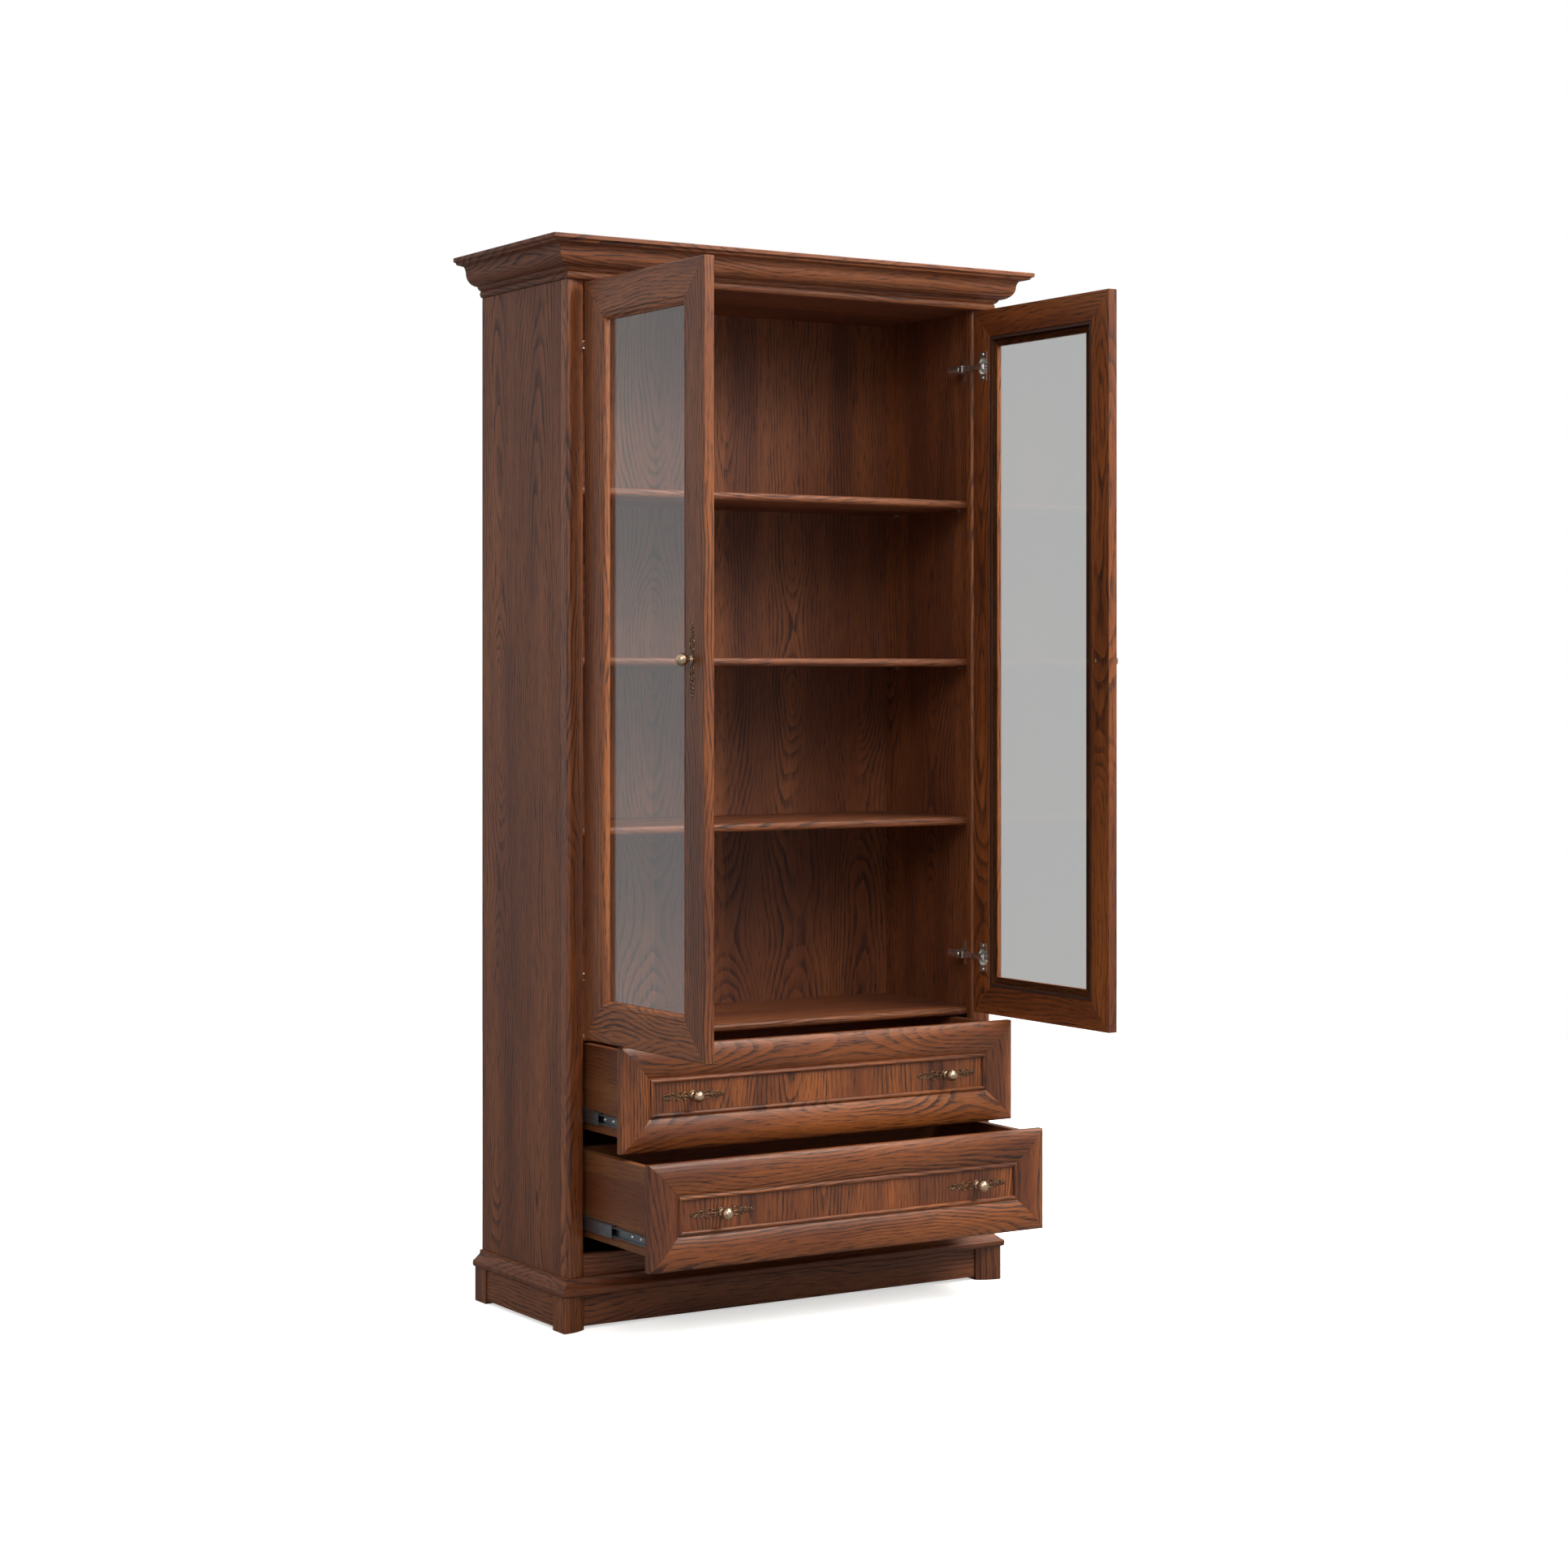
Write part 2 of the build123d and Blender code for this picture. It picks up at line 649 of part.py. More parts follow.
def make_slide_mounts():
    """The slides' fixed members, and the battens that bring them in line with the opening."""
    members = []
    battens = []
    for base in (lower_front_z, upper_front_z):
        slide_z = base + slide_rise + slide_height / 2
        outer = slide_channel(slide_height, -box_half - slide_play, -slide_x, slide_front_y,
                              slide_front_y + slide_length, slide_z)
        members += both_sides(outer)
        batten = block(-inner_half, -slide_x, pilaster_back_y, slide_front_y + slide_length,
                       slide_z - slide_height / 2, slide_z + slide_height / 2)
        battens += both_sides(batten)
    save("slide_outers", *members)
    save("slide_battens", *battens)


# ---------------------------------------------------------------- build
os.makedirs("parts", exist_ok=True)
make_carcass()
make_cornice()
make_base()
make_shelves()
make_hinges()
make_door("left", open_left)
make_door("right", lambda shape: mirrored(open_left(shape)))
make_slide_mounts()
make_drawer("upper_drawer", upper_front_z, upper_drawer_open)
make_drawer("lower_drawer", lower_front_z, lower_drawer_open)

print("origin to wall", wall_y, "pilaster crest", crest_y, "closed fronts", closed_y)
print("left door pivot", pivot_x, pivot_y, "link pin", link_pin_x, link_pin_y)
print("slide length", slide_length, "door", door_width, door_height)
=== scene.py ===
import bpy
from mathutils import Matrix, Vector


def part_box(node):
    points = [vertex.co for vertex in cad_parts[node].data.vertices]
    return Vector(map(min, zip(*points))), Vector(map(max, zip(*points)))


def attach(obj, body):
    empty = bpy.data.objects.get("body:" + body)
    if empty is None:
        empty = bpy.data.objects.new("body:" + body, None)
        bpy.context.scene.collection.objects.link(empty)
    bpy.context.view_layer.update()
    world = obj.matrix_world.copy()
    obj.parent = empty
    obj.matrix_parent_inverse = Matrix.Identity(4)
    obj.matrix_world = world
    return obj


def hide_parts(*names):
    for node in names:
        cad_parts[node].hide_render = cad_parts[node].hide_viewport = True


bl_info = {
    "name": "China cabinet",
    "version": (1, 0, 0),
    "blender": (4, 5, 0),
    "location": "View3D > Sidebar > Cabinet",
    "description": "Dresses the packed china cabinet in veneer, glass, aged brass and plated steel",
    "category": "Object",
}

import math
import random

import bmesh
import bpy
from mathutils import Vector

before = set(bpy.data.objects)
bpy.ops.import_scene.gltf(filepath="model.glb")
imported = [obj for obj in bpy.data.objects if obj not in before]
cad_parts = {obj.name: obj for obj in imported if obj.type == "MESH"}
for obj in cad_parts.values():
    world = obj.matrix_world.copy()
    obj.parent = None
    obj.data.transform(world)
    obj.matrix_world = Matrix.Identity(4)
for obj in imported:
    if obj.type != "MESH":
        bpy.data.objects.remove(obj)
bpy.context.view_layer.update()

MM = 0.001
X, Y, Z = Vector((1, 0, 0)), Vector((0, 1, 0)), Vector((0, 0, 1))
SIDES = ((-1, "left"), (1, "right"))
DRAWERS = ("upper_drawer", "lower_drawer")

# Moulding sections in millimetres: points, and the middle point of each arc by its start index.
# Doors and drawers: (in from the frame's outer edge, back from the face).
DOOR_SECTION = (
    [(0, 20), (0, 2.5), (2.5, 0), (64, 0), (65, 1.6), (66.5, 1.6), (67.1, 0.6), (76, 7),
     (76, 13.5), (54.5, 13.5), (54.5, 20)],
    {1: (0.73, 0.73), 6: (72.8, 2.0)},
)
DRAWER_SECTION = (
    [(0, 22), (0, 8.5), (1, 7), (58.5, 8), (60, 9.4), (61.5, 9.4), (61.8, 8.8), (69.2, 9),
     (70, 12), (62, 12), (62, 22)],
    {2: (29, 0), 6: (65.5, 5.8)},
)
# Cornice and base moulding: (out from the case's face, up from the moulding's underside).
CORNICE_SECTION = (
    [(-28, 0), (2, 0), (3.2, 12.8), (4.3, 13.2), (11, 20.9), (35.5, 43), (40.3, 57.8),
     (55.9, 60.1), (61.2, 65.1), (62.5, 66.1), (62.5, 72.6), (61.5, 73.6), (-28, 73.6)],
    {1: (5.2, 6), 3: (8.4, 16), 4: (26.6, 26.4), 5: (36.8, 51), 7: (57.5, 63.5)},
)
BASE_SECTION = (
    [(-42, 0), (15.5, 0), (20.5, 4.5), (20.5, 9), (16.5, 14), (10, 20), (5, 28), (5, 31),
     (-42, 31)],
    {1: (19.2, 1.3), 3: (19.5, 12.2), 5: (6.3, 23.2)},
)

# Posts with a bowed front, in millimetres: how far the front falls back, and its rounded corner.
PILASTER_FALL, PILASTER_CORNER = 13.0, 7.0
FOOT_FALL, FOOT_CORNER = 18.0, 3.0
SHELF_NOSE = 7.2                # rounding of shelf edges, in millimetres

BOARD = 16 * MM                 # plinth boards and drawer sides
BACK_PLINTH_INSET = 42 * MM     # from the case's side to the end of the back plinth board
BATTEN_HEIGHT = 30 * MM
GLASS_ARRIS = 0.4 * MM
ARRIS_ANGLE = math.radians(40)  # edges sharper than this are rounded
CREASE_ANGLE = math.radians(32)         # and edges sharper than this look sharp

CUP_BORE = 30 * MM              # deeper than the stile, so that the bore comes out clean
CUP_FLANGE = 28.5 * MM          # half the height of a cup's flange
CUP_SCREW = 23.5 * MM           # from the middle of a cup to its screws
CUP_SCREW_RADIUS = 3.2 * MM
CUP_SCREW_SEAT = 0.5 * MM       # how deep a screw sits in the flange
ARM_FACE = 431.5 * MM           # open side of the hinge arms, from the middle of the cabinet
ARM_COVER = (84.5 * MM, 123.5 * MM)     # front and back end of the cover on an arm
ARM_COVER_WIDTH, ARM_COVER_RISE = 14 * MM, 3 * MM
BRIDGE_REACH = (31 * MM, 0.6 * MM)      # the bridge's ends, from the door's hinge edge
BRIDGE_WIDTH, BRIDGE_RISE = 12 * MM, 2.6 * MM
BRIDGE_SEAT = 0.9 * MM          # how deep the bridge sits in the flange
SLIDE_SCREWS = (28, 60, 240)    # millimetres from the front end of a slide
SLIDE_SCREW_RADIUS = 3.4 * MM
SLIDE_WEB = 1.2 * MM            # steel of a slide

PLATE_HALF = 69 * MM            # half the length of a backplate
DOOR_GRIP, PANEL_GRIP = 20.0, 8.0       # wood that a knob's screw clamps, in millimetres
KNOB_REACH, KNOB_RADIUS = 32.0, 11.7    # in millimetres

FLOOR_HALF = 4.5                # metres from the middle of the floor to its edge
FLOOR_GAP = 0.5 * MM            # between the floor and the feet
FILM_WIDTH = 36.0               # millimetres, which the lens is stated for


def linear(code):
    """An sRGB hex colour as linear RGBA."""
    parts = [int(code[i:i + 2], 16) / 255 for i in (1, 3, 5)]
    return [c / 12.92 if c <= 0.04045 else ((c + 0.055) / 1.055) ** 2.4 for c in parts] + [1.0]


# ---------------- settings
def colour_property(name, description, code):
    return bpy.props.FloatVectorProperty(name=name, description=description, subtype="COLOR",
                                         size=4, min=0, max=1, default=linear(code))


def length_property(name, description, length):
    return bpy.props.FloatProperty(name=name, description=description, default=length,
                                   unit="LENGTH", subtype="DISTANCE")


class CabinetWood(bpy.types.PropertyGroup):
    """Stain and figure of the veneer."""

    light: colour_property("Light wood", "Stained wood between the rings", "#9C5829")
    body: colour_property("Wood", "Middle tone of the stained wood", "#6C3719")
    dark: colour_property("Ring", "Open grain where the stain has settled", "#34170B")
    case_light: colour_property("Light wood of the case", "Stained wood between the rings",
                                "#8A4E28")
    board_light: colour_property("Drawer board", "Plain stained board of the drawer boxes",
                                 "#84502A")
    ring: length_property("Ring spacing", "Distance from one year ring to the next", 7.5 * MM)
    leaf: length_property("Leaf width", "Half the width of one veneer leaf", 82 * MM)
    arris: length_property("Arris", "Rounding of sharp wood edges", 0.7 * MM)
    gloss: bpy.props.FloatProperty(name="Lacquer roughness", description="Satin lacquer",
                                   default=0.4, min=0, max=1, subtype="FACTOR")


class CabinetMetal(bpy.types.PropertyGroup):
    """Colours of glass, brass, steel and the gasket."""

    brass: colour_property("Brass", "Rubbed high spots of the aged brass", "#DCC2A6")
    worn: colour_property("Worn brass", "Half darkened brass", "#8C735C")
    patina: colour_property("Patina", "Darkened hollows of the aged brass", "#35271D")
    nickel: colour_property("Nickel", "Nickel plating of the hinges", "#F4F2ED")
    nickel_low: colour_property("Dull nickel", "Handled patches of the nickel", "#D6D4D0")
    zinc: colour_property("Zinc", "Zinc plating of the drawer slides", "#8E949A")
    zinc_low: colour_property("Dull zinc", "Duller streaks of the zinc plating", "#666C73")
    glass: colour_property("Glass", "Tint of the clear glass", "#FBFDFC")
    gasket: colour_property("Gasket", "Brown glazing gasket", "#3A2117")


class CabinetStage(bpy.types.PropertyGroup):
    """Camera, light and floor."""

    lens: bpy.props.FloatProperty(name="Lens", description="Focal length", default=70.51,
                                  unit="CAMERA")
    yaw: bpy.props.FloatProperty(name="Yaw", description="Turn of the camera from square on",
                                 default=math.radians(31.968), unit="ROTATION", subtype="ANGLE")
    eye: bpy.props.FloatVectorProperty(name="Camera place", description="Where the camera stands",
                                       default=(-3.15994, -5.0013, 1.21687), unit="LENGTH",
                                       subtype="TRANSLATION")
    drop: bpy.props.FloatProperty(name="Drop", description="Downward shift, in frame widths",
                                  default=0.0685)
    key: bpy.props.FloatProperty(name="Key light", description="Power of the main soft light",
                                 default=170.0, unit="POWER")
    room: bpy.props.FloatProperty(name="Room light", description="Brightness of the studio walls",
                                  default=0.5)
    floor: colour_property("Floor", "Pale studio floor", "#F4F3F1")


# ---------------- materials
def node(tree, kind, inputs=(), **fields):
    """Adds a node, sets its fields, and fills its inputs.

    inputs is a dict, or a row that starts at the first input. Each is a value, another node's
    output, or another node, which stands for its first output.
    """
    made = tree.nodes.new("ShaderNode" + kind)
    for field, value in fields.items():
        setattr(made, field, value)
    for key, value in inputs.items() if isinstance(inputs, dict) else enumerate(inputs):
        if isinstance(value, bpy.types.Node):
            value = value.outputs[0]
        if isinstance(value, bpy.types.NodeSocket):
            tree.links.new(value, made.inputs[key])
        else:
            made.inputs[key].default_value = value
    return made


def blank(name):
    """A new material without nodes, and its node tree."""
    material = bpy.data.materials.new(name)
    material.use_nodes = True
    material.node_tree.nodes.clear()
    return material, material.node_tree


def veneer(name, light, figure, contrast, streak, dull):
    """Open-pored ash veneer, stained dark and lacquered.

    The growth rings are a tilted, wandering trunk cut by the board, so they run straight at the
    sides of a leaf and close into cathedral arches over its heart. Stain settles in the open
    early wood of each ring and in the pores, which lie along the grain.
    """
    wood = bpy.context.scene.cabinet_wood
    material, tree = blank(name)
    place = node(tree, "SeparateXYZ", (node(tree, "UVMap", uv_map="Grain"),))
    along, across = place.outputs[0], place.outputs[1]

    def cloud(scale_along, scale_across, detail, seed):
        """Noise stretched along the grain; the scales are features per metre."""
        spread = node(tree, "CombineXYZ", (
            node(tree, "Math", (along, scale_along), operation="MULTIPLY"),
            node(tree, "Math", (across, scale_across), operation="MULTIPLY"), seed))
        return node(tree, "TexNoise", {"Vector": spread, "Scale": 1.0, "Detail": detail,
                                       "Roughness": 0.55})

    # the lines wander by 30 mm to each side, and the heart rises and sinks every half metre
    wander = node(tree, "Math", (cloud(2.4, 6.0, 2.0, 3.1), 60 * MM, -30 * MM),
                  operation="MULTIPLY_ADD")
    heart = node(tree, "Math", (cloud(1.9, 1.2, 1.0, 8.3), figure, -0.38 * figure),
                 operation="MULTIPLY_ADD")
    shifted = node(tree, "Math", (across, wander), operation="ADD")
    offset = node(tree, "Math", (shifted, wood.leaf), operation="PINGPONG")
    squares = node(tree, "Math", (node(tree, "Math", (offset, offset), operation="MULTIPLY"),
                                  node(tree, "Math", (heart, heart), operation="MULTIPLY")),
                   operation="ADD")
    radius = node(tree, "Math", (squares,), operation="SQRT")
    # small waves 80 mm long, as ash has along its rings
    jitter = node(tree, "Math", (cloud(12.0, 45.0, 2.0, 5.7), 6 * MM, -3 * MM),
                  operation="MULTIPLY_ADD")
    turns = node(tree, "Math", (node(tree, "Math", (radius, jitter), operation="ADD"), wood.ring),
                 operation="DIVIDE")
    ring = node(tree, "Math", (turns,), operation="FRACT")
    # each ring starts with a thin dark line of open pores and pales into dense late wood
    bands = node(tree, "ValToRGB", (ring,))
    stops = bands.color_ramp.elements
    for position, value in ((0.0, 0.55), (0.07, 1.0), (0.17, 0.55), (0.34, 0.18), (0.9, 0.0),
                            (1.0, 0.55)):
        stop = stops.new(position) if 0 < position < 1 else stops[int(position)]
        stop.color = (value, value, value, 1)
    # how strongly a ring took the stain changes from ring to ring
    strength = node(tree, "Math", (cloud(1.5, 20.0, 3.0, 1.9), 2.6 * contrast, -0.9 * contrast),
                    operation="MULTIPLY_ADD")
    line = node(tree, "Math", (bands, strength), operation="MULTIPLY")
    # the heart of a leaf is cut through pale wood, so its few broad lines are faint
    away = node(tree, "MapRange", {"Value": radius, "From Min": 4 * MM, "From Max": 26 * MM,
                                   "To Min": 0.15})
    line = node(tree, "Math", (line, away), operation="MULTIPLY")
    line = node(tree, "Math", (line, 0.0), operation="MAXIMUM")
    # pores are 0.3 mm wide; they are drawn 1.6 mm wide and 33 mm long so that they show
    pore = node(tree, "Math", (cloud(30.0, 620.0, 2.0, 6.4), 0.48), operation="SUBTRACT")
    pore = node(tree, "Math", (pore, 0.0), operation="MAXIMUM")
    pore = node(tree, "Math", (pore, streak), operation="MULTIPLY")
    crowd = node(tree, "Math", (bands, 0.45), operation="ADD")
    fleck = node(tree, "Math", (pore, crowd), operation="MULTIPLY")
    depth = node(tree, "Math", (line, fleck), operation="ADD")
    depth = node(tree, "Math", (depth, 1.0), operation="MINIMUM")

    # each leaf of veneer took the stain a little differently
    leaf = node(tree, "Math", (shifted, wood.leaf), operation="DIVIDE")
    leaf = node(tree, "Math", (leaf,), operation="FLOOR")
    shade = node(tree, "TexWhiteNoise", {"W": leaf}, noise_dimensions="1D").outputs["Value"]
    tone = node(tree, "Math", (cloud(1.3, 9.0, 3.0, 2.2), 0.1), operation="SUBTRACT")
    tone = node(tree, "Math", (shade, 0.2, tone), operation="MULTIPLY_ADD")
    tone = node(tree, "MapRange", {"Value": tone, "From Min": 0.37, "From Max": 0.64})
    ground = node(tree, "Mix", {0: tone, 6: wood.body, 7: getattr(wood, light)}, data_type="RGBA")
    colour = node(tree, "Mix", {0: depth, 6: ground.outputs[2], 7: wood.dark}, data_type="RGBA")
    rough = node(tree, "Math", (depth, 0.12, wood.gloss + dull), operation="MULTIPLY_ADD")
    height = node(tree, "Math", (1.0, depth), operation="SUBTRACT")
    bump = node(tree, "Bump", {"Height": height, "Strength": 0.25, "Distance": 0.12 * MM})
    shader = node(tree, "BsdfPrincipled", {"Base Color": colour.outputs[2], "IOR": 1.5,
                                           "Roughness": rough, "Normal": bump})
    node(tree, "OutputMaterial", {"Surface": shader})
    return material


def clear_glass(name):
    """4 mm float glass, clear with a faint green edge; lamps shine through it without caustics."""
    tint = bpy.context.scene.cabinet_metal.glass
    material, tree = blank(name)
    pane = node(tree, "BsdfPrincipled", {"Base Color": tint, "Roughness": 0.0, "IOR": 1.52,
                                         "Transmission Weight": 1.0})
    gap = node(tree, "BsdfTransparent", {"Color": tint})
    path = node(tree, "LightPath")
    mix = node(tree, "MixShader", (path.outputs["Is Shadow Ray"], pane, gap))
    node(tree, "OutputMaterial", {"Surface": mix})
    return material


def metal_finish(name, high, low, rough, spread, grains):
    """A plated or cast metal: its tone and gloss change in soft patches, as handling leaves them.

    grains is how many patches there are per metre along X, Y and Z; unequal ones make streaks.
    """
    metal = bpy.context.scene.cabinet_metal
    material, tree = blank(name)
    place = node(tree, "TexCoord").outputs["Object"]
    patches = node(tree, "Mapping", {"Vector": place, "Scale": grains})
    noise = node(tree, "TexNoise", {"Vector": patches, "Scale": 1.0, "Detail": 4.0})
    share = node(tree, "MapRange", {"Value": noise, "From Min": 0.36, "From Max": 0.62})
    colour = node(tree, "Mix", {0: share, 6: getattr(metal, low), 7: getattr(metal, high)},
                  data_type="RGBA")
    gloss = node(tree, "MapRange", {"Value": share, "To Min": rough + spread, "To Max": rough})
    bump = node(tree, "Bump", {"Height": noise, "Strength": 0.2, "Distance": 0.05 * MM})
    shader = node(tree, "BsdfPrincipled", {"Base Color": colour.outputs[2], "Metallic": 1.0,
                                           "Roughness": gloss, "Normal": bump})
    node(tree, "OutputMaterial", {"Surface": shader})
    return material


def gasket_vinyl(name):
    """Extruded soft PVC: an even matt brown with a fine draw texture of about 1 mm."""
    material, tree = blank(name)
    place = node(tree, "TexCoord").outputs["Object"]
    noise = node(tree, "TexNoise", {"Vector": place, "Scale": 900.0, "Detail": 2.0})
    gloss = node(tree, "MapRange", {"Value": noise, "To Min": 0.5, "To Max": 0.62})
    bump = node(tree, "Bump", {"Height": noise, "Strength": 0.15, "Distance": 0.05 * MM})
    shader = node(tree, "BsdfPrincipled",
                  {"Base Color": bpy.context.scene.cabinet_metal.gasket, "IOR": 1.53,
                   "Roughness": gloss, "Normal": bump})
    node(tree, "OutputMaterial", {"Surface": shader})
    return material


# Each finish: the material's name, the function that makes it, and what that is given.
FINISHES = {
    # cut across 220 mm of the trunk: broad arches, strong rings and clear pores under satin
    "front": ("stained ash veneer fronts", veneer, ("light", 220 * MM, 2.0, 5.2, 0.0)),
    # the case is a shade quieter and duller than the fronts
    "case": ("stained ash veneer case", veneer, ("case_light", 230 * MM, 1.8, 4.6, 0.14)),
    # a plain board: straighter and fainter rings, duller lacquer
    "board": ("stained drawer board", veneer, ("board_light", 60 * MM, 0.7, 2.6, 0.12)),
    "glass": ("float glass clear", clear_glass, ()),
    "gasket": ("soft PVC brown", gasket_vinyl, ()),
    # patina lies in patches of 2 to 3 mm on the brass; the cast plates have kept more of it
    "brass": ("aged brass turned", metal_finish, ("brass", "worn", 0.24, 0.16, (420,) * 3)),
    "plate": ("aged brass cast", metal_finish, ("worn", "patina", 0.34, 0.2, (420,) * 3)),
    # nickel plating is even, with a faint haze every 10 mm
    "nickel": ("nickel plated steel", metal_finish,
               ("nickel", "nickel_low", 0.28, 0.12, (100,) * 3)),
    # rolled and zinc plated: 0.5 mm streaks that run the length of the slide
    "zinc": ("zinc plated rolled steel", metal_finish,
             ("zinc", "zinc_low", 0.34, 0.16, (1800, 25, 1800))),
}


def finish(key):
    """The material of that key, made the first time it is asked for."""
    name, maker, values = FINISHES[key]
    return bpy.data.materials.get(name) or maker(name, *values)


# ---------------- mesh work
def arc_points(start, middle, end, steps):
    """Points from start up to, not including, end on the circle through three points."""
    (ax, ay), (bx, by), (cx, cy) = start, middle, end
    double = 2 * (ax * (by - cy) + bx * (cy - ay) + cx * (ay - by))
    sa, sb, sc = ax * ax + ay * ay, bx * bx + by * by, cx * cx + cy * cy
    ox = (sa * (by - cy) + sb * (cy - ay) + sc * (ay - by)) / double
    oy = (sa * (cx - bx) + sb * (ax - cx) + sc * (bx - ax)) / double
    radius = math.hypot(ax - ox, ay - oy)
    first, mid, last = (math.atan2(y - oy, x - ox) for x, y in (start, middle, end))
    sweep = (last - first) % math.tau
    if (mid - first) % math.tau > sweep:
        sweep -= math.tau
    angles = [first + sweep * i / steps for i in range(steps)]
    return [(ox + radius * math.cos(angle), oy + radius * math.sin(angle)) for angle in angles]


def outline(section, flip=1.0, steps=12):
    """A section's points in metres with its arcs divided. flip -1 turns a depth into a height."""
    points, arcs = section
    made = []
    for index, start in enumerate(points):
        if index in arcs:
            end = points[(index + 1) % len(points)]
            made += arc_points(start, arcs[index], end, steps)
        else:
            made.append(start)
    return [(a * MM, b * flip * MM) for a, b in made]


def bowed(width, depth, fall, corner):
    """Plan of a post with an arc for its front: it falls back at one end, rounded at the other."""
    radius = (width ** 2 + fall ** 2) / (2 * fall)
    half = math.asin(width / radius) / 2
    middle = (radius * math.sin(half), radius * (1 - math.cos(half)))
    lift = radius - math.sqrt(radius ** 2 - corner ** 2)
    dip = corner * (1 - math.sqrt(0.5))
    return ([(0, corner), (corner, lift), (width, fall), (width, depth), (0, depth)],
            {0: (dip, dip), 1: middle})


def nosed(depth, thick, nose):
    """Section of a shelf: (back from its front edge, up)."""
    dip = nose * (1 - math.sqrt(0.5))
    return ([(0, nose), (nose, 0), (depth, 0), (depth, thick), (nose, thick), (0, thick - nose)],
            {0: (dip, dip), 4: (dip, thick - dip)})


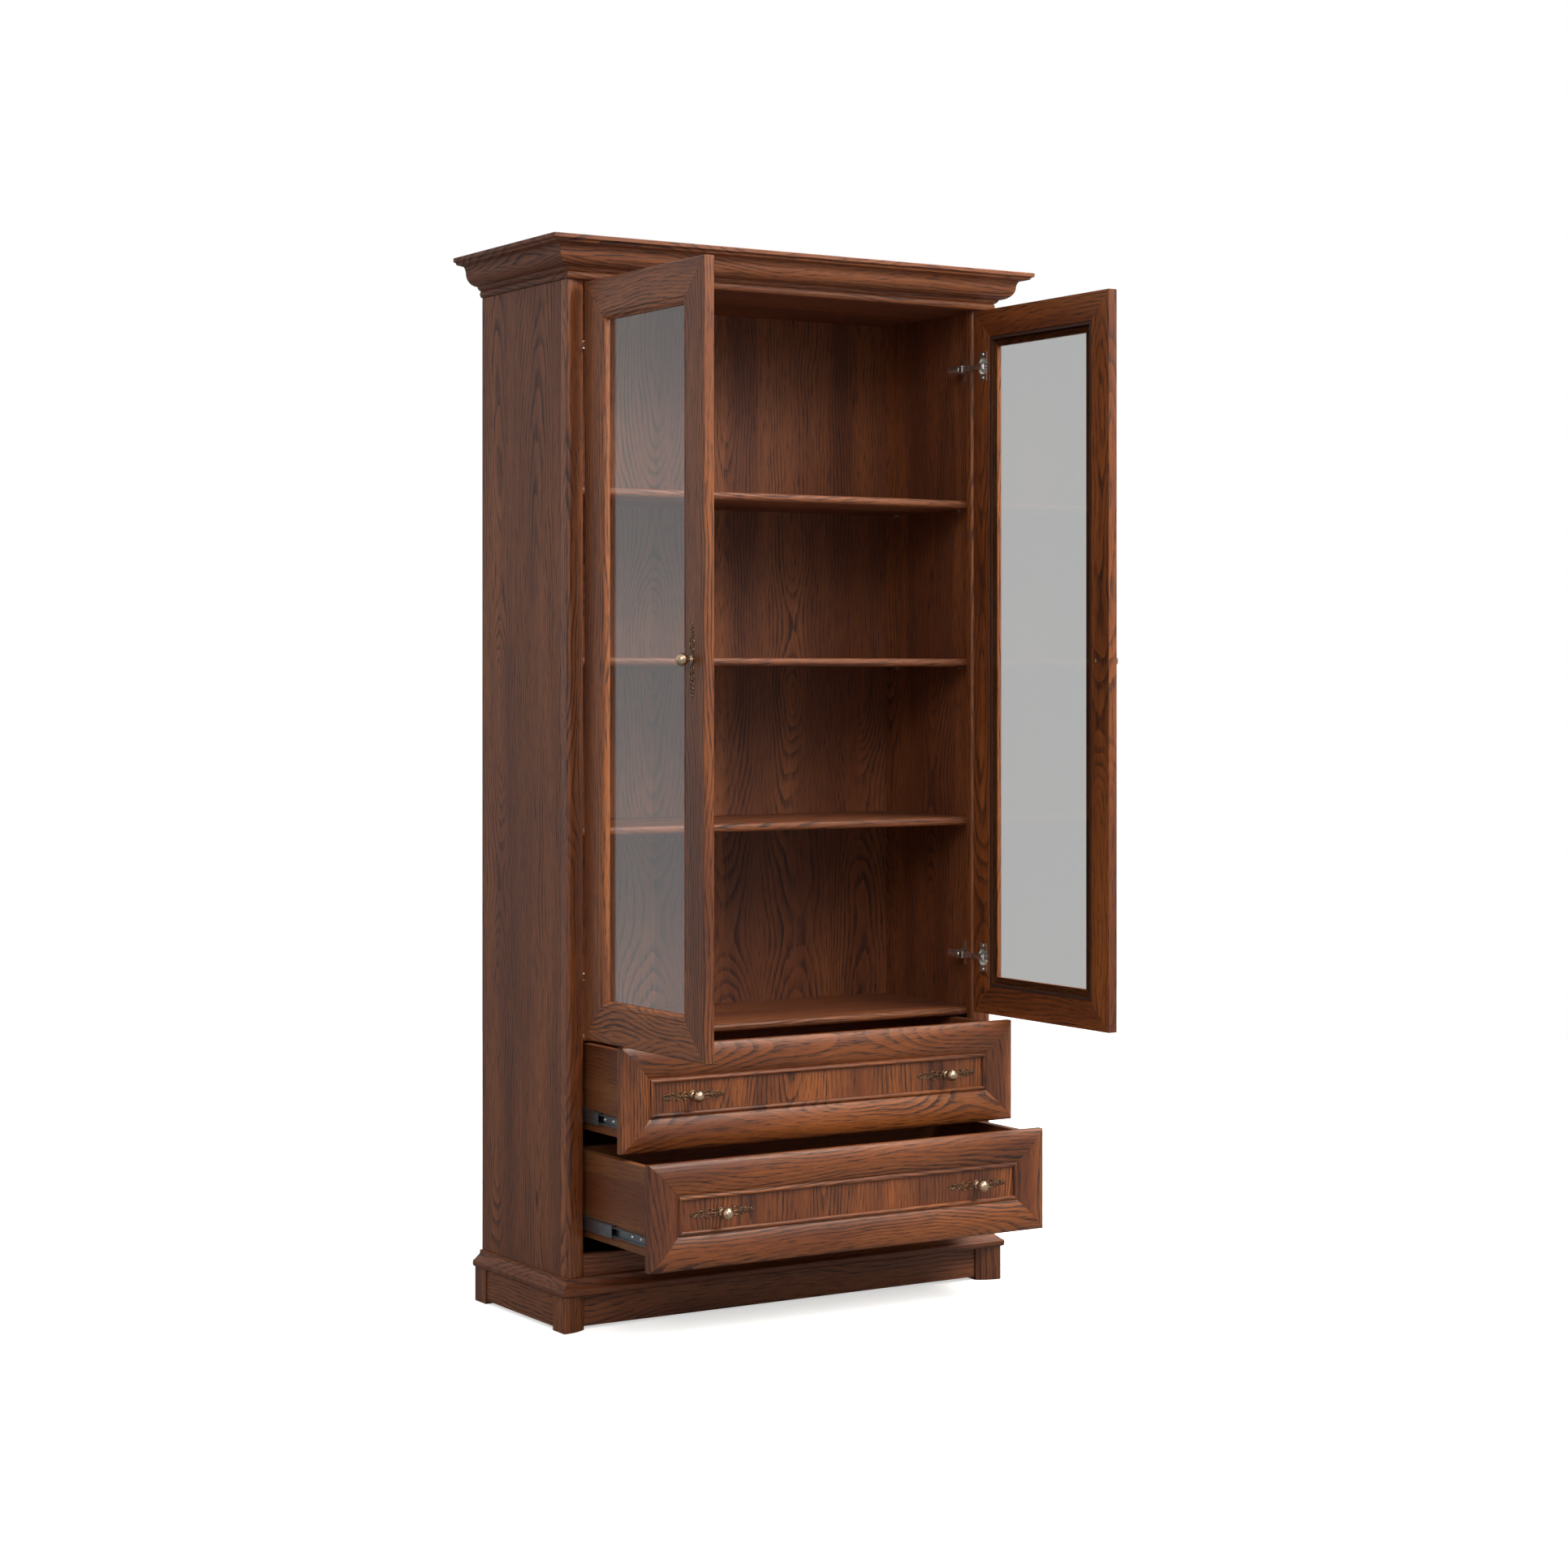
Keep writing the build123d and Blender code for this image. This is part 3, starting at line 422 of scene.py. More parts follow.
class Piece:
    """Closed solids gathered into one mesh, with a map that runs along the grain of each."""

    def __init__(self, name, seed=None):
        self.name = name
        self.random = random.Random(seed or name)
        self.points, self.faces, self.map = [], [], []

    def bar(self, start, along, side, out, length, section, lead=0.0, tail=0.0):
        """Sweeps a section of (side, out) points. lead and tail lean the ends, for mitres."""
        first = len(self.points)
        count = len(section)
        # every bar is cut from its own place in the veneer
        shift = (self.random.uniform(0, 9), self.random.uniform(0, 5))
        for t, lean in ((0.0, lead), (length, -tail)):
            self.points += [start + along * (t + lean * a) + side * a + out * b
                            for a, b in section]
        girth = [0.0]
        for (a, b), (c, d) in zip(section, section[1:] + section[:1]):
            girth.append(girth[-1] + math.hypot(c - a, d - b))
        for i in range(count):
            j = (i + 1) % count
            self.faces.append((first + i, first + j, first + count + j, first + count + i))
            ends = ((i, girth[i]), (j, girth[i + 1]))
            self.map += [(shift[0] + lead * section[k][0], shift[1] + g) for k, g in ends]
            self.map += [(shift[0] + length - tail * section[k][0], shift[1] + g)
                         for k, g in reversed(ends)]
        for base, turn in ((first, 1), (first + count, -1)):
            order = range(count)[::turn]
            self.faces.append(tuple(base + i for i in order))
            self.map += [(shift[0] + section[i][1], shift[1] + section[i][0]) for i in order]

    def board(self, low, high, along):
        """A box between two corners, with its grain along X, Y or Z."""
        side, out = [axis for axis in (X, Y, Z) if axis != along]
        size = high - low
        w, h = size.dot(side), size.dot(out)
        self.bar(low, along, side, out, size.dot(along), [(0, 0), (w, 0), (w, h), (0, h)])

    def plain_face(self, corners):
        """A face that shows no grain."""
        self.faces.append(tuple(corners))
        self.map += [(0.0, 0.0)] * len(self.faces[-1])

    def lathe(self, centre, axis, profile, steps=40):
        """Turns a profile of (radius, height) points about an axis; it starts and ends on it."""
        side = axis.orthogonal().normalized()
        out = axis.cross(side)
        rings = []
        for radius, height in profile:
            base = len(self.points)
            spots = 1 if radius < 1e-7 else steps
            for i in range(spots):
                angle = math.tau * i / steps
                reach = (side * math.cos(angle) + out * math.sin(angle)) * radius
                self.points.append(centre + axis * height + reach)
            rings.append((base, spots))
        for (a, m), (b, n) in zip(rings, rings[1:]):
            for i in range(steps):
                j = (i + 1) % steps
                # a ring of one point gives triangles
                self.plain_face(dict.fromkeys([a + i % m, a + j % m, b + j % n, b + i % n]))

    def relief(self, path, widths, normal, height, steps=8):
        """A half-round strip along a path, as wide as widths say and height proud of it."""
        first = len(self.points)
        widest = max(widths)
        for index, (point, width) in enumerate(zip(path, widths)):
            ahead = path[min(index + 1, len(path) - 1)] - path[max(index - 1, 0)]
            side = ahead.cross(normal).normalized() * width / 2
            rise = height * math.sqrt(width / widest)
            for i in range(steps):
                angle = math.pi * i / (steps - 1)
                self.points.append(point + side * math.cos(angle)
                                   + normal * rise * math.sin(angle))
        for index in range(len(path) - 1):
            a = first + index * steps
            for i in range(steps):
                j = (i + 1) % steps
                self.plain_face((a + i, a + j, a + steps + j, a + steps + i))
        for base in (first, first + (len(path) - 1) * steps):
            self.plain_face(range(base, base + steps))

    def loose(self):
        """The bare mesh as an object that rides nothing yet."""
        mesh = bpy.data.meshes.new(self.name)
        mesh.from_pydata([tuple(point) for point in self.points], [], self.faces)
        grain = mesh.uv_layers.new(name="Grain")
        grain.data.foreach_set("uv", [number for pair in self.map for number in pair])
        work = bmesh.new()
        work.from_mesh(mesh)
        bmesh.ops.recalc_face_normals(work, faces=work.faces)
        work.to_mesh(mesh)
        work.free()
        thing = bpy.data.objects.new(self.name, mesh)
        bpy.context.scene.collection.objects.link(thing)
        return thing

    def make(self, key, body, slot, *nodes, arris=None, cut=None):
        """Builds the mesh in its finish and hands it to the body in place of the CAD nodes.

        cut is a Piece that is bored out of it.
        """
        thing = self.loose()
        mesh = thing.data
        if cut:
            drill = cut.loose()
            hole = thing.modifiers.new("holes", "BOOLEAN")
            hole.object = drill
            hole.solver = "EXACT"
        mesh.polygons.foreach_set("use_smooth", [True] * len(mesh.polygons))
        mesh.set_sharp_from_angle(angle=CREASE_ANGLE)
        if arris:
            edge = thing.modifiers.new("arris", "BEVEL")
            edge.width = arris
            edge.harden_normals = True
            edge.segments = 2
            edge.limit_method = "ANGLE"
            edge.angle_limit = ARRIS_ANGLE
            edge.use_clamp_overlap = True
        if cut or arris:
            bpy.context.view_layer.update()
            shaped = thing.evaluated_get(bpy.context.evaluated_depsgraph_get())
            shaped = bpy.data.meshes.new_from_object(shaped)
            thing.modifiers.clear()
            thing.data = shaped
        if cut:
            bpy.data.objects.remove(drill)
        thing.data.materials.clear()
        thing.data.materials.append(finish(key))
        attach(thing, body)
        if nodes:
            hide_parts(*nodes)


def wood_arris():
    return bpy.context.scene.cabinet_wood.arris


def plank(node_name, along, key="case", slot="case_wood", body="cabinet"):
    """A plain board in place of a CAD node that is one."""
    piece = Piece(node_name + "_veneered")
    piece.board(*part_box(node_name), along)
    piece.make(key, body, slot, node_name, arris=wood_arris())


def keep(node_name, key):
    """Gives a CAD node whose shape is right its material."""
    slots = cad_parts[node_name].data.materials
    slots.clear()
    slots.append(finish(key))


# ---------------- wooden pieces
class CABINET_OT_case(bpy.types.Operator):
    """Side panels, pilasters, floors, shelves, front rail and back panel"""

    bl_idname = "cabinet.case"
    bl_label = "Case"

    def execute(self, context):
        for sign, side in SIDES:
            plank(f"side_panel_{side}", Z)
            low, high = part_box(f"pilaster_{side}")
            size = (high - low) / MM
            piece = Piece(f"pilaster_{side}_veneered")
            corner = Vector((low.x if sign < 0 else high.x, low.y, low.z))
            piece.bar(corner, Z, X * -sign, Y, high.z - low.z,
                      outline(bowed(size.x, size.y, PILASTER_FALL, PILASTER_CORNER)))
            piece.make("front", "cabinet", "case_wood", f"pilaster_{side}", arris=wood_arris())
        # the ceiling reaches back over the top edge of the back panel
        low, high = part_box("ceiling_panel")
        ceiling = Piece("ceiling_panel_veneered")
        ceiling.board(low, Vector((high.x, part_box("back_panel")[1].y, high.z)), X)
        ceiling.make("case", "cabinet", "case_wood", "ceiling_panel", arris=wood_arris())
        plank("carcass_bottom", X, "board", "inner_board")
        plank("front_rail", X)
        plank("back_panel", Z, "case", "back_board")
        for shelf in ("display_floor", "shelf_lower", "shelf_middle", "shelf_upper"):
            low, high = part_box(shelf)
            size = (high - low) / MM
            piece = Piece(shelf + "_veneered")
            piece.bar(low, X, Y, Z, high.x - low.x, outline(nosed(size.y, size.z, SHELF_NOSE)))
            piece.make("case", "cabinet", "case_wood", shelf, arris=wood_arris())
        keep("shelf_pins", "nickel")
        return {"FINISHED"}


def moulding(front_node, side_node, section, face_y, low_z, half):
    """Front and side mouldings around the case, mitred at the front corners."""
    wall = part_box("back_panel")[1].y
    shape = outline(section)
    front = Piece(front_node + "_moulded")
    front.bar(Vector((-half, face_y, low_z)), X, -Y, Z, 2 * half, shape, lead=-1, tail=-1)
    front.make("case", "cabinet", "case_wood", front_node, arris=wood_arris() / 2)
    flank = Piece(side_node + "_moulded")
    for sign, _ in SIDES:
        flank.bar(Vector((sign * half, face_y, low_z)), Y, X * sign, Z, wall - face_y, shape,
                  lead=-1)
    flank.make("case", "cabinet", "case_wood", side_node, arris=wood_arris() / 2)


class CABINET_OT_cornice(bpy.types.Operator):
    """Ogee cornice, its top board and the rail behind it"""

    bl_idname = "cabinet.cornice"
    bl_label = "Cornice"

    def execute(self, context):
        low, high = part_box("cornice_front")
        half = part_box("back_panel")[1].x
        # the front moulding stands out as far as its ends pass the case
        face_y = low.y + high.x - half
        moulding("cornice_front", "cornice_sides", CORNICE_SECTION, face_y, low.z, half)
        plank("cornice_board", X)
        plank("cornice_back_rail", X, "board", "inner_board")
        return {"FINISHED"}


class CABINET_OT_base(bpy.types.Operator):
    """Base moulding, block feet and plinth boards"""

    bl_idname = "cabinet.base"
    bl_label = "Base"

    def execute(self, context):
        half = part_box("back_panel")[1].x
        moulding("base_moulding_front", "base_moulding_sides", BASE_SECTION,
                 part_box("pilaster_left")[0].y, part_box("base_moulding_front")[0].z, half)
        low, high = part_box("feet")
        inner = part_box("plinth_rails")[1].x
        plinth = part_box("plinth_sides")
        foot = outline(bowed((high.x - inner) / MM, (plinth[0].y - low.y) / MM, FOOT_FALL,
                             FOOT_CORNER))
        feet = Piece("feet_veneered")
        for sign, _ in SIDES:
            feet.bar(Vector((sign * high.x, low.y, low.z)), Z, X * -sign, Y, high.z - low.z, foot)
            x0, x1 = sorted((sign * high.x, sign * inner))
            feet.board(Vector((x0, plinth[1].y, low.z)), Vector((x1, high.y, high.z)), Z)
        feet.make("front", "cabinet", "case_wood", "feet", arris=wood_arris())

        low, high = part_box("plinth_rails")
        back_half = half - BACK_PLINTH_INSET
        rails = Piece("plinth_rails_veneered")
        rails.board(low, Vector((high.x, low.y + BOARD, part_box("feet")[1].z)), X)
        rails.board(Vector((-back_half, high.y - BOARD, low.z)),
                    Vector((back_half, high.y, high.z)), X)
        rails.make("case", "cabinet", "case_wood", "plinth_rails", arris=wood_arris())
        low, high = plinth
        boards = Piece("plinth_sides_veneered")
        boards.board(low, Vector((low.x + BOARD, high.y, high.z)), Y)
        boards.board(Vector((high.x - BOARD, low.y, low.z)), high, Y)
        boards.make("case", "cabinet", "case_wood", "plinth_sides", arris=wood_arris())
        return {"FINISHED"}


def framed(corner, right, out, width, height, section):
    """The mitred members of a front, as Piece.bar takes them: bottom, right, top and left."""
    shape = outline(section, -1.0)
    return [
        (corner, right, Z, out, width, shape, 1, 1),
        (corner + right * width, Z, -right, out, height, shape, 1, 1),
        (corner + right * width + Z * height, -right, -Z, out, width, shape, 1, 1),
        (corner + Z * height, -Z, right, out, height, shape, 1, 1),
    ]


class CABINET_OT_doors(bpy.types.Operator):
    """Mitred door frames, glass and gaskets"""

    bl_idname = "cabinet.doors"
    bl_label = "Doors"

    def execute(self, context):
        for sign, side in SIDES:
            door = f"{side}_door"
            low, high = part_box(f"{door}_rails")
            corner = (low.x, high.y, low.z) if sign < 0 else (high.x, low.y, low.z)
            bottom, second, top, fourth = framed(
                Vector(corner), Y * sign, X * sign, high.y - low.y, high.z - low.z, DOOR_SECTION)
            hinge, lock = (fourth, second) if sign < 0 else (second, fourth)
            rails = Piece(f"{door}_rails_moulded")
            rails.bar(*bottom)
            rails.bar(*top)
            rails.make("front", door, "front_wood", f"{door}_rails", arris=wood_arris())
            stile = Piece(f"{door}_lock_stile_moulded", f"{side}_leaf")
            stile.bar(*lock)
            stile.make("front", door, "front_wood", f"{door}_lock_stile", arris=wood_arris())
            # the stile is bored for the two hinge cups
            low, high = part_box(f"{door}_hinge_cups")
            radius = (high.y - low.y) / 2
            drill = Piece(f"{side}_cup_bores")
            for level in (low.z + CUP_FLANGE, high.z - CUP_FLANGE):
                bottom = Vector((low.x if sign < 0 else high.x, (low.y + high.y) / 2, level))
                drill.lathe(bottom, X * -sign,
                            [(0, 0), (radius, 0), (radius, CUP_BORE), (0, CUP_BORE)], steps=48)
            stile = Piece(f"{door}_hinge_stile_moulded")
            stile.bar(*hinge)
            stile.make("front", door, "front_wood", f"{door}_hinge_stile",
                       arris=wood_arris(), cut=drill)
            pane = Piece(f"{door}_pane")
            pane.board(*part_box(f"{door}_glass"), Z)
            pane.make("glass", door, "clear_glass", f"{door}_glass", arris=GLASS_ARRIS)
            keep(f"{door}_gasket", "gasket")
        return {"FINISHED"}


class CABINET_OT_drawers(bpy.types.Operator):
    """Cushion-moulded drawer fronts, their panels and boxes"""

    bl_idname = "cabinet.drawers"
    bl_label = "Drawers"

    def execute(self, context):
        for drawer in DRAWERS:
            low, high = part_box(f"{drawer}_front_frame")
            front = Piece(f"{drawer}_front_moulded")
            for member in framed(low, X, -Y, high.x - low.x, high.z - low.z, DRAWER_SECTION):
                front.bar(*member)
            front.make("front", drawer, "front_wood", f"{drawer}_front_frame",
                       arris=wood_arris())
            plank(f"{drawer}_front_panel", Z, "front", "front_wood", drawer)

            low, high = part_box(f"{drawer}_box")
            sheet_low, sheet_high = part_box(f"{drawer}_bottom")
            # the sides are grooved for the bottom
            under, over = sheet_low.z - low.z, sheet_high.z - low.z
            floor = sheet_low.x - low.x
            tall = high.z - low.z
            section = [(0, 0), (BOARD, 0), (BOARD, under), (floor, under), (floor, over),
                       (BOARD, over), (BOARD, tall), (0, tall)]
            box = Piece(f"{drawer}_box_boards")
            for sign, _ in SIDES:
                edge = low.x if sign < 0 else high.x
                box.bar(Vector((edge, low.y, low.z)), Y, X * -sign, Z, high.y - low.y, section)
            box.board(Vector((low.x + BOARD, high.y - BOARD, sheet_high.z)),
                      Vector((high.x - BOARD, high.y, high.z)), X)
            box.make("board", drawer, "drawer_board", f"{drawer}_box", arris=wood_arris() / 2)
            plank(f"{drawer}_bottom", X, "board", "drawer_board", drawer)
        return {"FINISHED"}


# ---------------- hardware
def filigree(piece, centre, run, rise, out, height):
    """A pierced cast plate: C-scrolls and a ring each side of the boss, then leaves to a tip.

    All its measures are millimetres along run and rise from the middle of the boss.
    """
    def strip(points, widths):
        path = [centre + run * (a * MM) + rise * (b * MM) for a, b in points]
        piece.relief(path, [width * MM for width in widths], out, height)

    boss = [(0, 0), (9.4, 0), (9.4, 0.4), (8.6, 0.9), (7.4, 0.75), (6.4, 1.2), (0, 1.2)]
    piece.lathe(centre, out, [(r * MM, min(h * MM, height)) for r, h in boss], steps=32)
    for way in (-1, 1):
        angles = [i * math.tau / 20 for i in range(21)]
        strip([(way * (17 + 6.4 * math.cos(angle)), 6.4 * math.sin(angle)) for angle in angles],
              [2.6] * 21)
        for lift in (-1, 1):
            # a scroll that springs from the boss, curls over the ring and ends in an eye
            curl = []
            for i in range(26):
                angle = math.pi * (1.05 - 1.9 * i / 25)
                radius = 8.4 - 5.6 * i / 25
                curl.append((way * (30.5 + radius * math.cos(angle)),
                             lift * (3.0 + radius * 0.72 * math.sin(angle))))
            strip(curl, [1.1 + 1.7 * math.sin(math.pi * i / 25) for i in range(26)])
            # leaves that lie back along the stem: root, reach and spread
            for root, reach, spread in ((38.0, 9.0, 5.4), (46.0, 8.5, 4.6), (53.5, 7.5, 3.6),
                                        (60.0, 6.0, 2.4)):
                strip([(way * (root + reach * i / 8),
                        lift * (0.4 + spread * math.sin(i / 8 * math.pi * 0.62)))
                       for i in range(9)],
                      [0.7 + 2.6 * math.sin(math.pi * min(i / 8 * 0.9 + 0.1, 1))
                       for i in range(9)])
        strip([(way * (8 + 60.9 * i / 12), 0) for i in range(13)],
              [2.6 - 0.14 * i for i in range(13)])


def turned_knob(piece, foot, out, grip):
    """A turned ball knob on a waisted neck, and the screw that holds it through the wood."""
    ball = KNOB_REACH - KNOB_RADIUS
    # screw head, shank, foot, waist and collar
    profile = [(0, -grip - 1.8), (3.2, -grip - 1.8), (4.0, -grip - 1.1), (4.0, -grip),
               (1.85, -grip), (1.85, 1.6), (7.0, 1.6), (7.0, 2.3), (6.6, 2.9), (5.4, 3.2),
               (4.4, 4.2), (3.9, 5.6), (3.8, 7.2), (4.3, 8.2), (5.2, 8.7), (5.2, 9.4), (4.6, 9.9)]
    start = math.asin(4.9 / KNOB_RADIUS)
    for i in range(18):
        angle = start + (math.pi - start) * i / 18
        profile.append((KNOB_RADIUS * math.sin(angle), ball - KNOB_RADIUS * math.cos(angle)))
    profile.append((0, KNOB_REACH))
    piece.lathe(foot, out, [(r * MM, h * MM) for r, h in profile])


class CABINET_OT_handles(bpy.types.Operator):
    """Turned brass knobs on pierced brass plates"""

    bl_idname = "cabinet.handles"
    bl_label = "Handles"

    def execute(self, context):
        # body, plural of its nodes, outward, along the plate, across the plate, clamped wood
        places = [(f"{side}_door", "", X * sign, Z, Y, DOOR_GRIP) for sign, side in SIDES]
        places += [(drawer, "s", -Y, X, Z, PANEL_GRIP) for drawer in DRAWERS]
        for body, plural, out, run, rise, grip in places:
            low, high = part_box(f"{body}_backplate{plural}")
            spots = [(low + high) / 2]
            if plural:
                level = spots[0].z
                spots = [Vector((x, low.y, level)) for x in (low.x + PLATE_HALF,
                                                             high.x - PLATE_HALF)]
            axis = 0 if out.x else 1
            # the plate's back lies on the wood
            face = low[axis] if out[axis] > 0 else high[axis]
            plates = Piece(f"{body}_filigree_plate{plural}")
            knobs = Piece(f"{body}_turned_knob{plural}")
            for spot in spots:
                spot[axis] = face
                filigree(plates, spot, run, rise, out, high[axis] - low[axis])
                turned_knob(knobs, spot, out, grip)
            plates.make("plate", body, "antique_brass", f"{body}_backplate{plural}")
            knobs.make("brass", body, "antique_brass", f"{body}_knob{plural}")
        return {"FINISHED"}


def screw(piece, place, out, radius):
    """A pan head with a round recess."""
    profile = [(0, 0), (1, 0), (1, 0.25), (0.8, 0.5), (0.42, 0.56), (0.3, 0.2), (0, 0.2)]
    piece.lathe(place, out, [(r * radius, h * radius) for r, h in profile], steps=24)


def domed(piece, start, end_y, width, height, normal):
    """A pressed strap along Y, domed across and rounded down at both ends."""
    run = end_y - start.y
    # how far along, and what share of the full width it has there
    spots = ((0, 0.3), (0.03, 0.62), (0.08, 0.82), (0.15, 0.95), (0.25, 1), (0.5, 1), (0.75, 1),
             (0.85, 0.95), (0.92, 0.82), (0.97, 0.62), (1, 0.3))
    piece.relief([start + Y * run * t for t, _ in spots], [width * share for _, share in spots],
                 normal, height, steps=12)


class CABINET_OT_hardware(bpy.types.Operator):
    """Concealed hinges, drawer slides and their battens"""

    bl_idname = "cabinet.hardware"
    bl_label = "Hinges and slides"

    def execute(self, context):
        keep("hinge_plates", "nickel")
        keep("hinge_arms", "nickel")
        keep("slide_outers", "zinc")
        low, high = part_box("slide_battens")
        slide_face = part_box("slide_outers")[1].x
        battens = Piece("slide_battens_sawn")
        for sign, _ in SIDES:
            x0, x1 = sorted((sign * high.x, sign * slide_face))
            for z0 in (low.z, high.z - BATTEN_HEIGHT):
                z1 = z0 + BATTEN_HEIGHT
                battens.board(Vector((x0, low.y, z0)), Vector((x1, high.y, z1)), Y)
        battens.make("board", "cabinet", "inner_board", "slide_battens", arris=wood_arris() / 2)

        covers = Piece("hinge_covers_pressed")
        for sign, side in SIDES:
            keep(f"{side}_hinge_links", "nickel")
            keep(f"{side}_door_hinge_cups", "nickel")
            low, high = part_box(f"{side}_door_hinge_cups")
            back = low.x if sign > 0 else high.x
            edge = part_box(f"{side}_door_rails")[1].y
            inward = X * -sign
            heads = Piece(f"{side}_cup_screws")
            bridges = Piece(f"{side}_cup_bridges")
            for level in (low.z + CUP_FLANGE, high.z - CUP_FLANGE):
                # cover on the arm, and the bridge from the cup to the edge of the door
                domed(covers, Vector((sign * ARM_FACE, ARM_COVER[0], level)), ARM_COVER[1],
                      ARM_COVER_WIDTH, ARM_COVER_RISE, inward)
                start = Vector((back + sign * BRIDGE_SEAT, edge - BRIDGE_REACH[0], level))
                domed(bridges, start, edge - BRIDGE_REACH[1], BRIDGE_WIDTH, BRIDGE_RISE, inward)
                for step in (-CUP_SCREW, CUP_SCREW):
                    place = Vector((back + sign * CUP_SCREW_SEAT, (low.y + high.y) / 2,
                                    level + step))
                    screw(heads, place, inward, CUP_SCREW_RADIUS)
            heads.make("nickel", f"{side}_door", "hinge_steel")
            bridges.make("nickel", f"{side}_door", "hinge_steel")
        covers.make("nickel", "cabinet", "hinge_steel")
        for drawer in DRAWERS:
            keep(f"{drawer}_slide_inners", "zinc")
            keep(f"{drawer}_slide_middles", "zinc")
            low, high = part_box(f"{drawer}_slide_inners")
            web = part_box(f"{drawer}_box")[1].x + SLIDE_WEB
            heads = Piece(f"{drawer}_slide_screws")
            for sign, _ in SIDES:
                for step in SLIDE_SCREWS:
                    place = Vector((sign * web, low.y + step * MM, (low.z + high.z) / 2))
                    screw(heads, place, X * sign, SLIDE_SCREW_RADIUS)
            heads.make("nickel", drawer, "slide_steel")
        return {"FINISHED"}


# ---------------- stage
def studio_floor(colour):
    """Matt painted studio floor, with a faint unevenness of the paint every 100 mm.

    It is seen nearly white, as a lit page, while it throws back little light at the cabinet.
    """
    material, tree = blank("painted studio floor")
    place = node(tree, "TexCoord").outputs["Object"]
    noise = node(tree, "TexNoise", {"Vector": place, "Scale": 10.0, "Detail": 3.0})
    rough = node(tree, "MapRange", {"Value": noise, "To Min": 0.55, "To Max": 0.7})
    dim = node(tree, "BsdfPrincipled", {"Base Color": linear("#8C8A88"), "IOR": 1.45,
                                        "Roughness": rough})
    pale = node(tree, "BsdfDiffuse", {"Color": colour, "Roughness": rough})
    glow = node(tree, "Emission", {"Color": colour, "Strength": 0.62})
    page = node(tree, "AddShader", (pale, glow))
    path = node(tree, "LightPath")
    mix = node(tree, "MixShader", (path.outputs["Is Camera Ray"], dim, page))
    node(tree, "OutputMaterial", {"Surface": mix})
    return material


def soft_light(name, place, target, size, power, tint="#FFFFFF"):
    """A rectangular softbox at a place, turned to a target."""
    lamp = bpy.data.lights.new(name, "AREA")
    lamp.shape = "RECTANGLE"
    lamp.size, lamp.size_y = size
    lamp.energy = power
    lamp.color = linear(tint)[:3]
    thing = bpy.data.objects.new(name, lamp)
    bpy.context.scene.collection.objects.link(thing)
    thing.location = place
    thing.rotation_euler = (Vector(target) - Vector(place)).to_track_quat("-Z", "Y").to_euler()


def studio_walls(room):
    """White walls around the floor, as bright as room."""
    world = bpy.data.worlds.new("studio")
    world.use_nodes = True
    tree = world.node_tree
    tree.nodes.clear()
    ray = node(tree, "SeparateXYZ", (node(tree, "TexCoord").outputs["Generated"],)).outputs
    # the walls are brighter on the left, and darken toward the ground
    side = node(tree, "MapRange", {"Value": ray[0], "From Min": -0.5, "From Max": 0.5,
                                   "To Min": 1.4 * room, "To Max": room})
    lit = node(tree, "MapRange", {"Value": ray[2], "From Min": -0.45, "From Max": -0.12,
                                  "To Min": 0.12, "To Max": side})
    walls = node(tree, "Background", {"Color": (1, 1, 1, 1), "Strength": lit})
    # soft surfaces gather less from the walls than the panes show of them, and least from low
    # down, so the lamps model the shapes
    high = node(tree, "MapRange", {"Value": ray[2], "From Min": -0.1, "From Max": 0.5,
                                   "To Min": 0.54 * room, "To Max": 0.84 * room})
    far = node(tree, "Background", {"Color": (1, 1, 1, 1), "Strength": high})
    page = node(tree, "Background", {"Color": (1, 1, 1, 1), "Strength": 1.0})
    path = node(tree, "LightPath").outputs
    soft = node(tree, "MixShader", (path["Is Diffuse Ray"], walls, far))
    mix = node(tree, "MixShader", (path["Is Camera Ray"], soft, page))
    node(tree, "OutputWorld", {"Surface": mix})
    return world


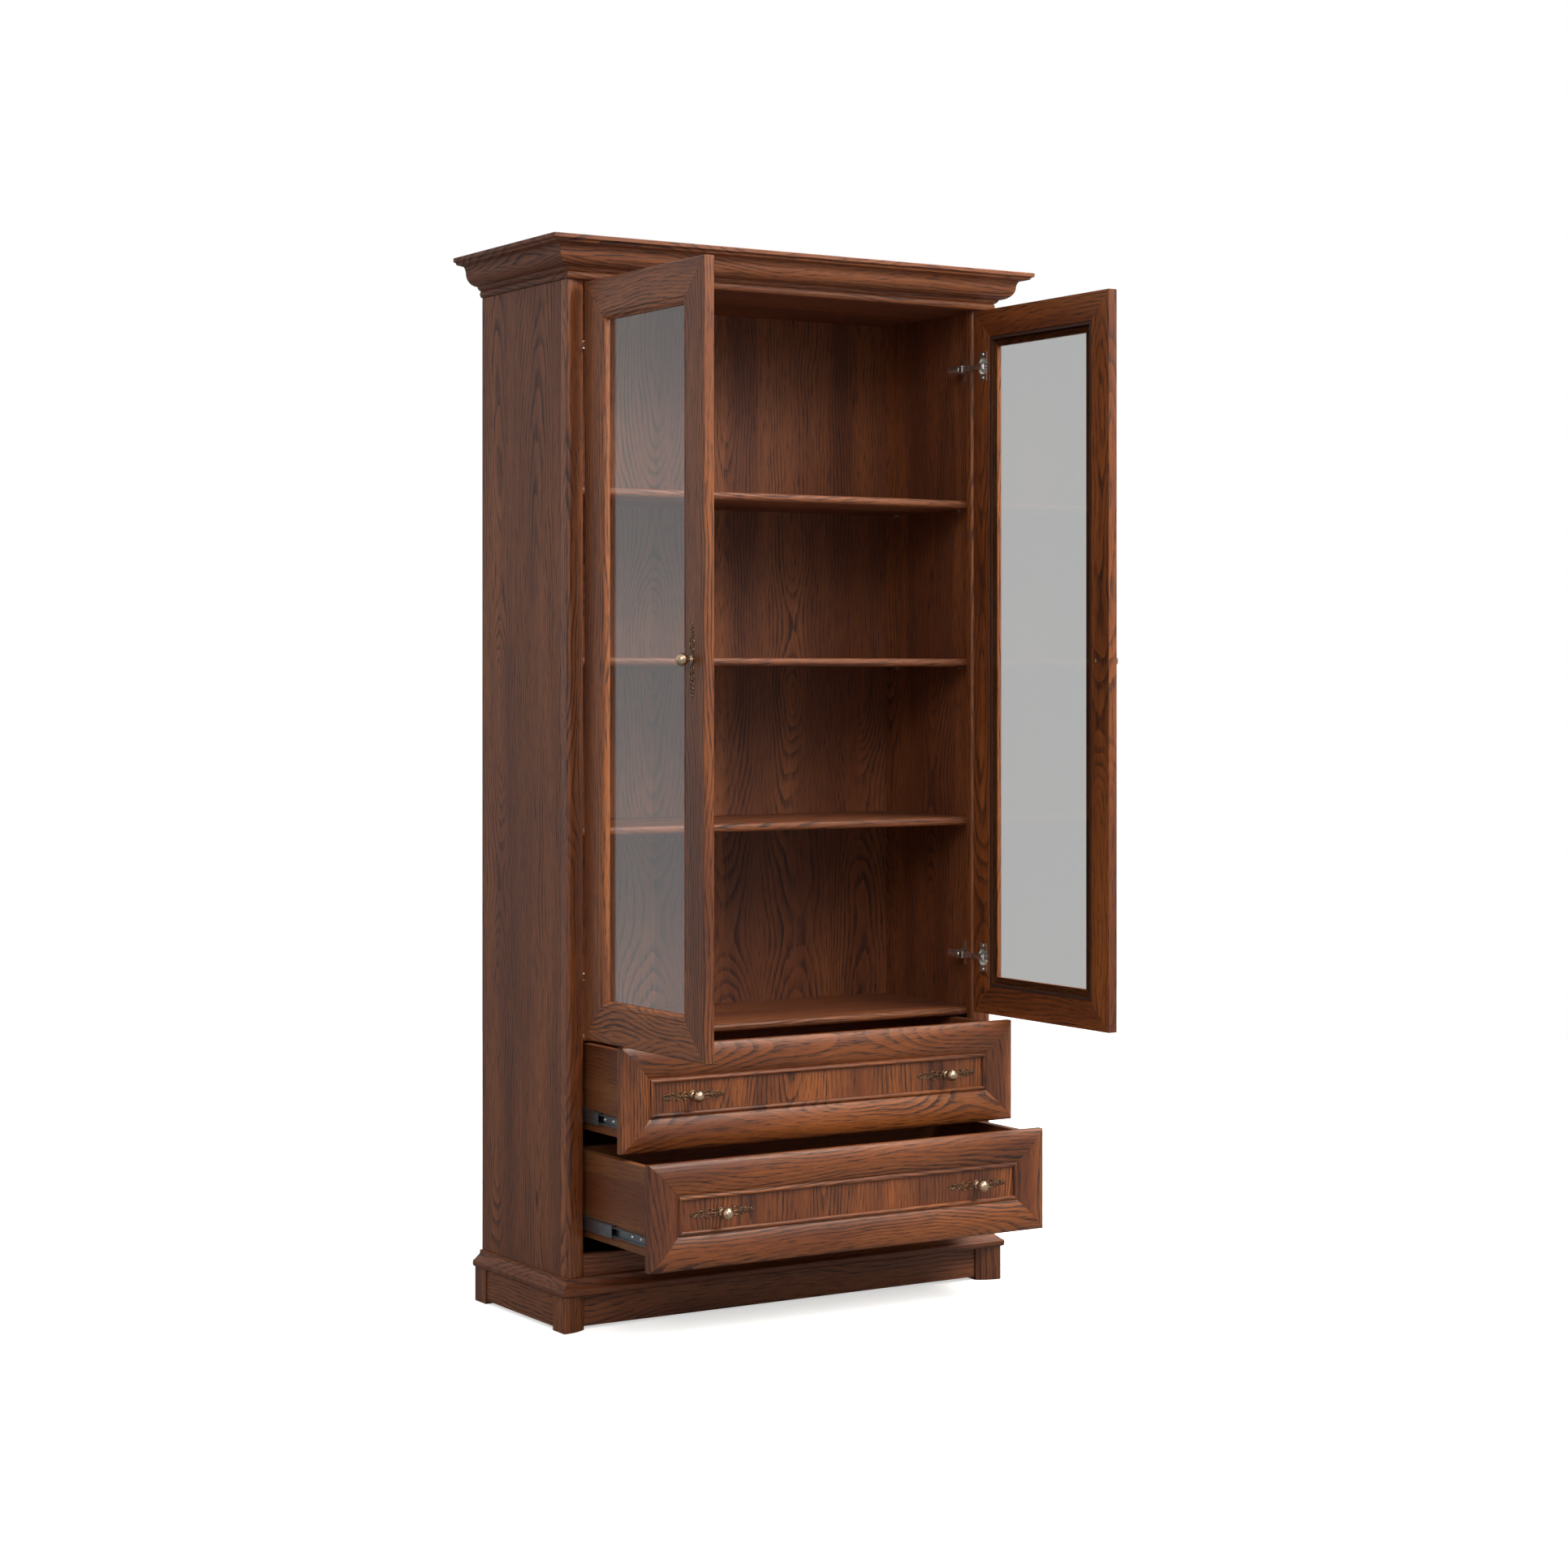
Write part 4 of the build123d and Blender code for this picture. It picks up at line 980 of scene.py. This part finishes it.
class CABINET_OT_stage(bpy.types.Operator):
    """Pale floor, soft studio light and the camera"""

    bl_idname = "cabinet.stage"
    bl_label = "Stage"

    def execute(self, context):
        scene = context.scene
        stage = scene.cabinet_stage
        mesh = bpy.data.meshes.new("studio_floor")
        work = bmesh.new()
        bmesh.ops.create_grid(work, x_segments=12, y_segments=12, size=FLOOR_HALF)
        work.to_mesh(mesh)
        work.free()
        mesh.materials.append(studio_floor(stage.floor))
        floor = bpy.data.objects.new("studio_floor", mesh)
        floor.location.z = -FLOOR_GAP
        scene.collection.objects.link(floor)

        key = stage.key
        soft_light("key_softbox", (1.8, -2.7, 4.6), (0, 0, 1.0), (2.4, 2.4), key * 1.15, "#FFF6EA")
        soft_light("sheen_softbox", (2.1, -4.4, 3.7), (0, 0, 1.2), (2.0, 1.9), key * 0.22)
        soft_light("front_softbox", (-1.7, -5.2, 4.6), (0, 0, 0.7), (1.6, 2.0), key * 0.46)
        soft_light("left_fill", (-3.9, -4.3, 3.5), (0, 0, 0.9), (2.0, 2.4), key * 0.38)
        soft_light("top_softbox", (1.9, 0.3, 4.3), (0.4, 0, 1.0), (3.0, 2.0), key * 0.75)
        scene.world = studio_walls(stage.room)

        camera = bpy.data.cameras.new("camera")
        camera.lens = stage.lens
        camera.sensor_width = FILM_WIDTH
        camera.shift_y = -stage.drop
        camera.clip_end = 60.0
        eye = bpy.data.objects.new("camera", camera)
        eye.location = stage.eye
        eye.rotation_euler = (math.pi / 2, 0, -stage.yaw)
        scene.collection.objects.link(eye)
        scene.camera = eye
        scene.view_settings.view_transform = "Standard"
        return {"FINISHED"}


SETTINGS = {
    "cabinet_wood": CabinetWood,
    "cabinet_metal": CabinetMetal,
    "cabinet_stage": CabinetStage,
}
OPERATORS = (CABINET_OT_case, CABINET_OT_cornice, CABINET_OT_base, CABINET_OT_doors,
             CABINET_OT_drawers, CABINET_OT_handles, CABINET_OT_hardware, CABINET_OT_stage)


class CABINET_PT_panel(bpy.types.Panel):
    """Lists the cabinet's operators and settings"""

    bl_idname = "CABINET_PT_panel"
    bl_label = "China cabinet"
    bl_space_type = "VIEW_3D"
    bl_region_type = "UI"
    bl_category = "Cabinet"

    def draw(self, context):
        for operator in OPERATORS:
            self.layout.operator(operator.bl_idname)
        for name, group in SETTINGS.items():
            for field in group.__annotations__:
                self.layout.prop(getattr(context.scene, name), field)


def register():
    for item in (*SETTINGS.values(), *OPERATORS, CABINET_PT_panel):
        bpy.utils.register_class(item)
    for name, group in SETTINGS.items():
        setattr(bpy.types.Scene, name, bpy.props.PointerProperty(type=group))


def unregister():
    for name in SETTINGS:
        delattr(bpy.types.Scene, name)
    for item in (CABINET_PT_panel, *reversed(OPERATORS), *SETTINGS.values()):
        bpy.utils.unregister_class(item)


def main():
    register()
    for operator in OPERATORS:
        group, name = operator.bl_idname.split(".")
        getattr(getattr(bpy.ops, group), name)()


if __name__ == "__main__":
    main()
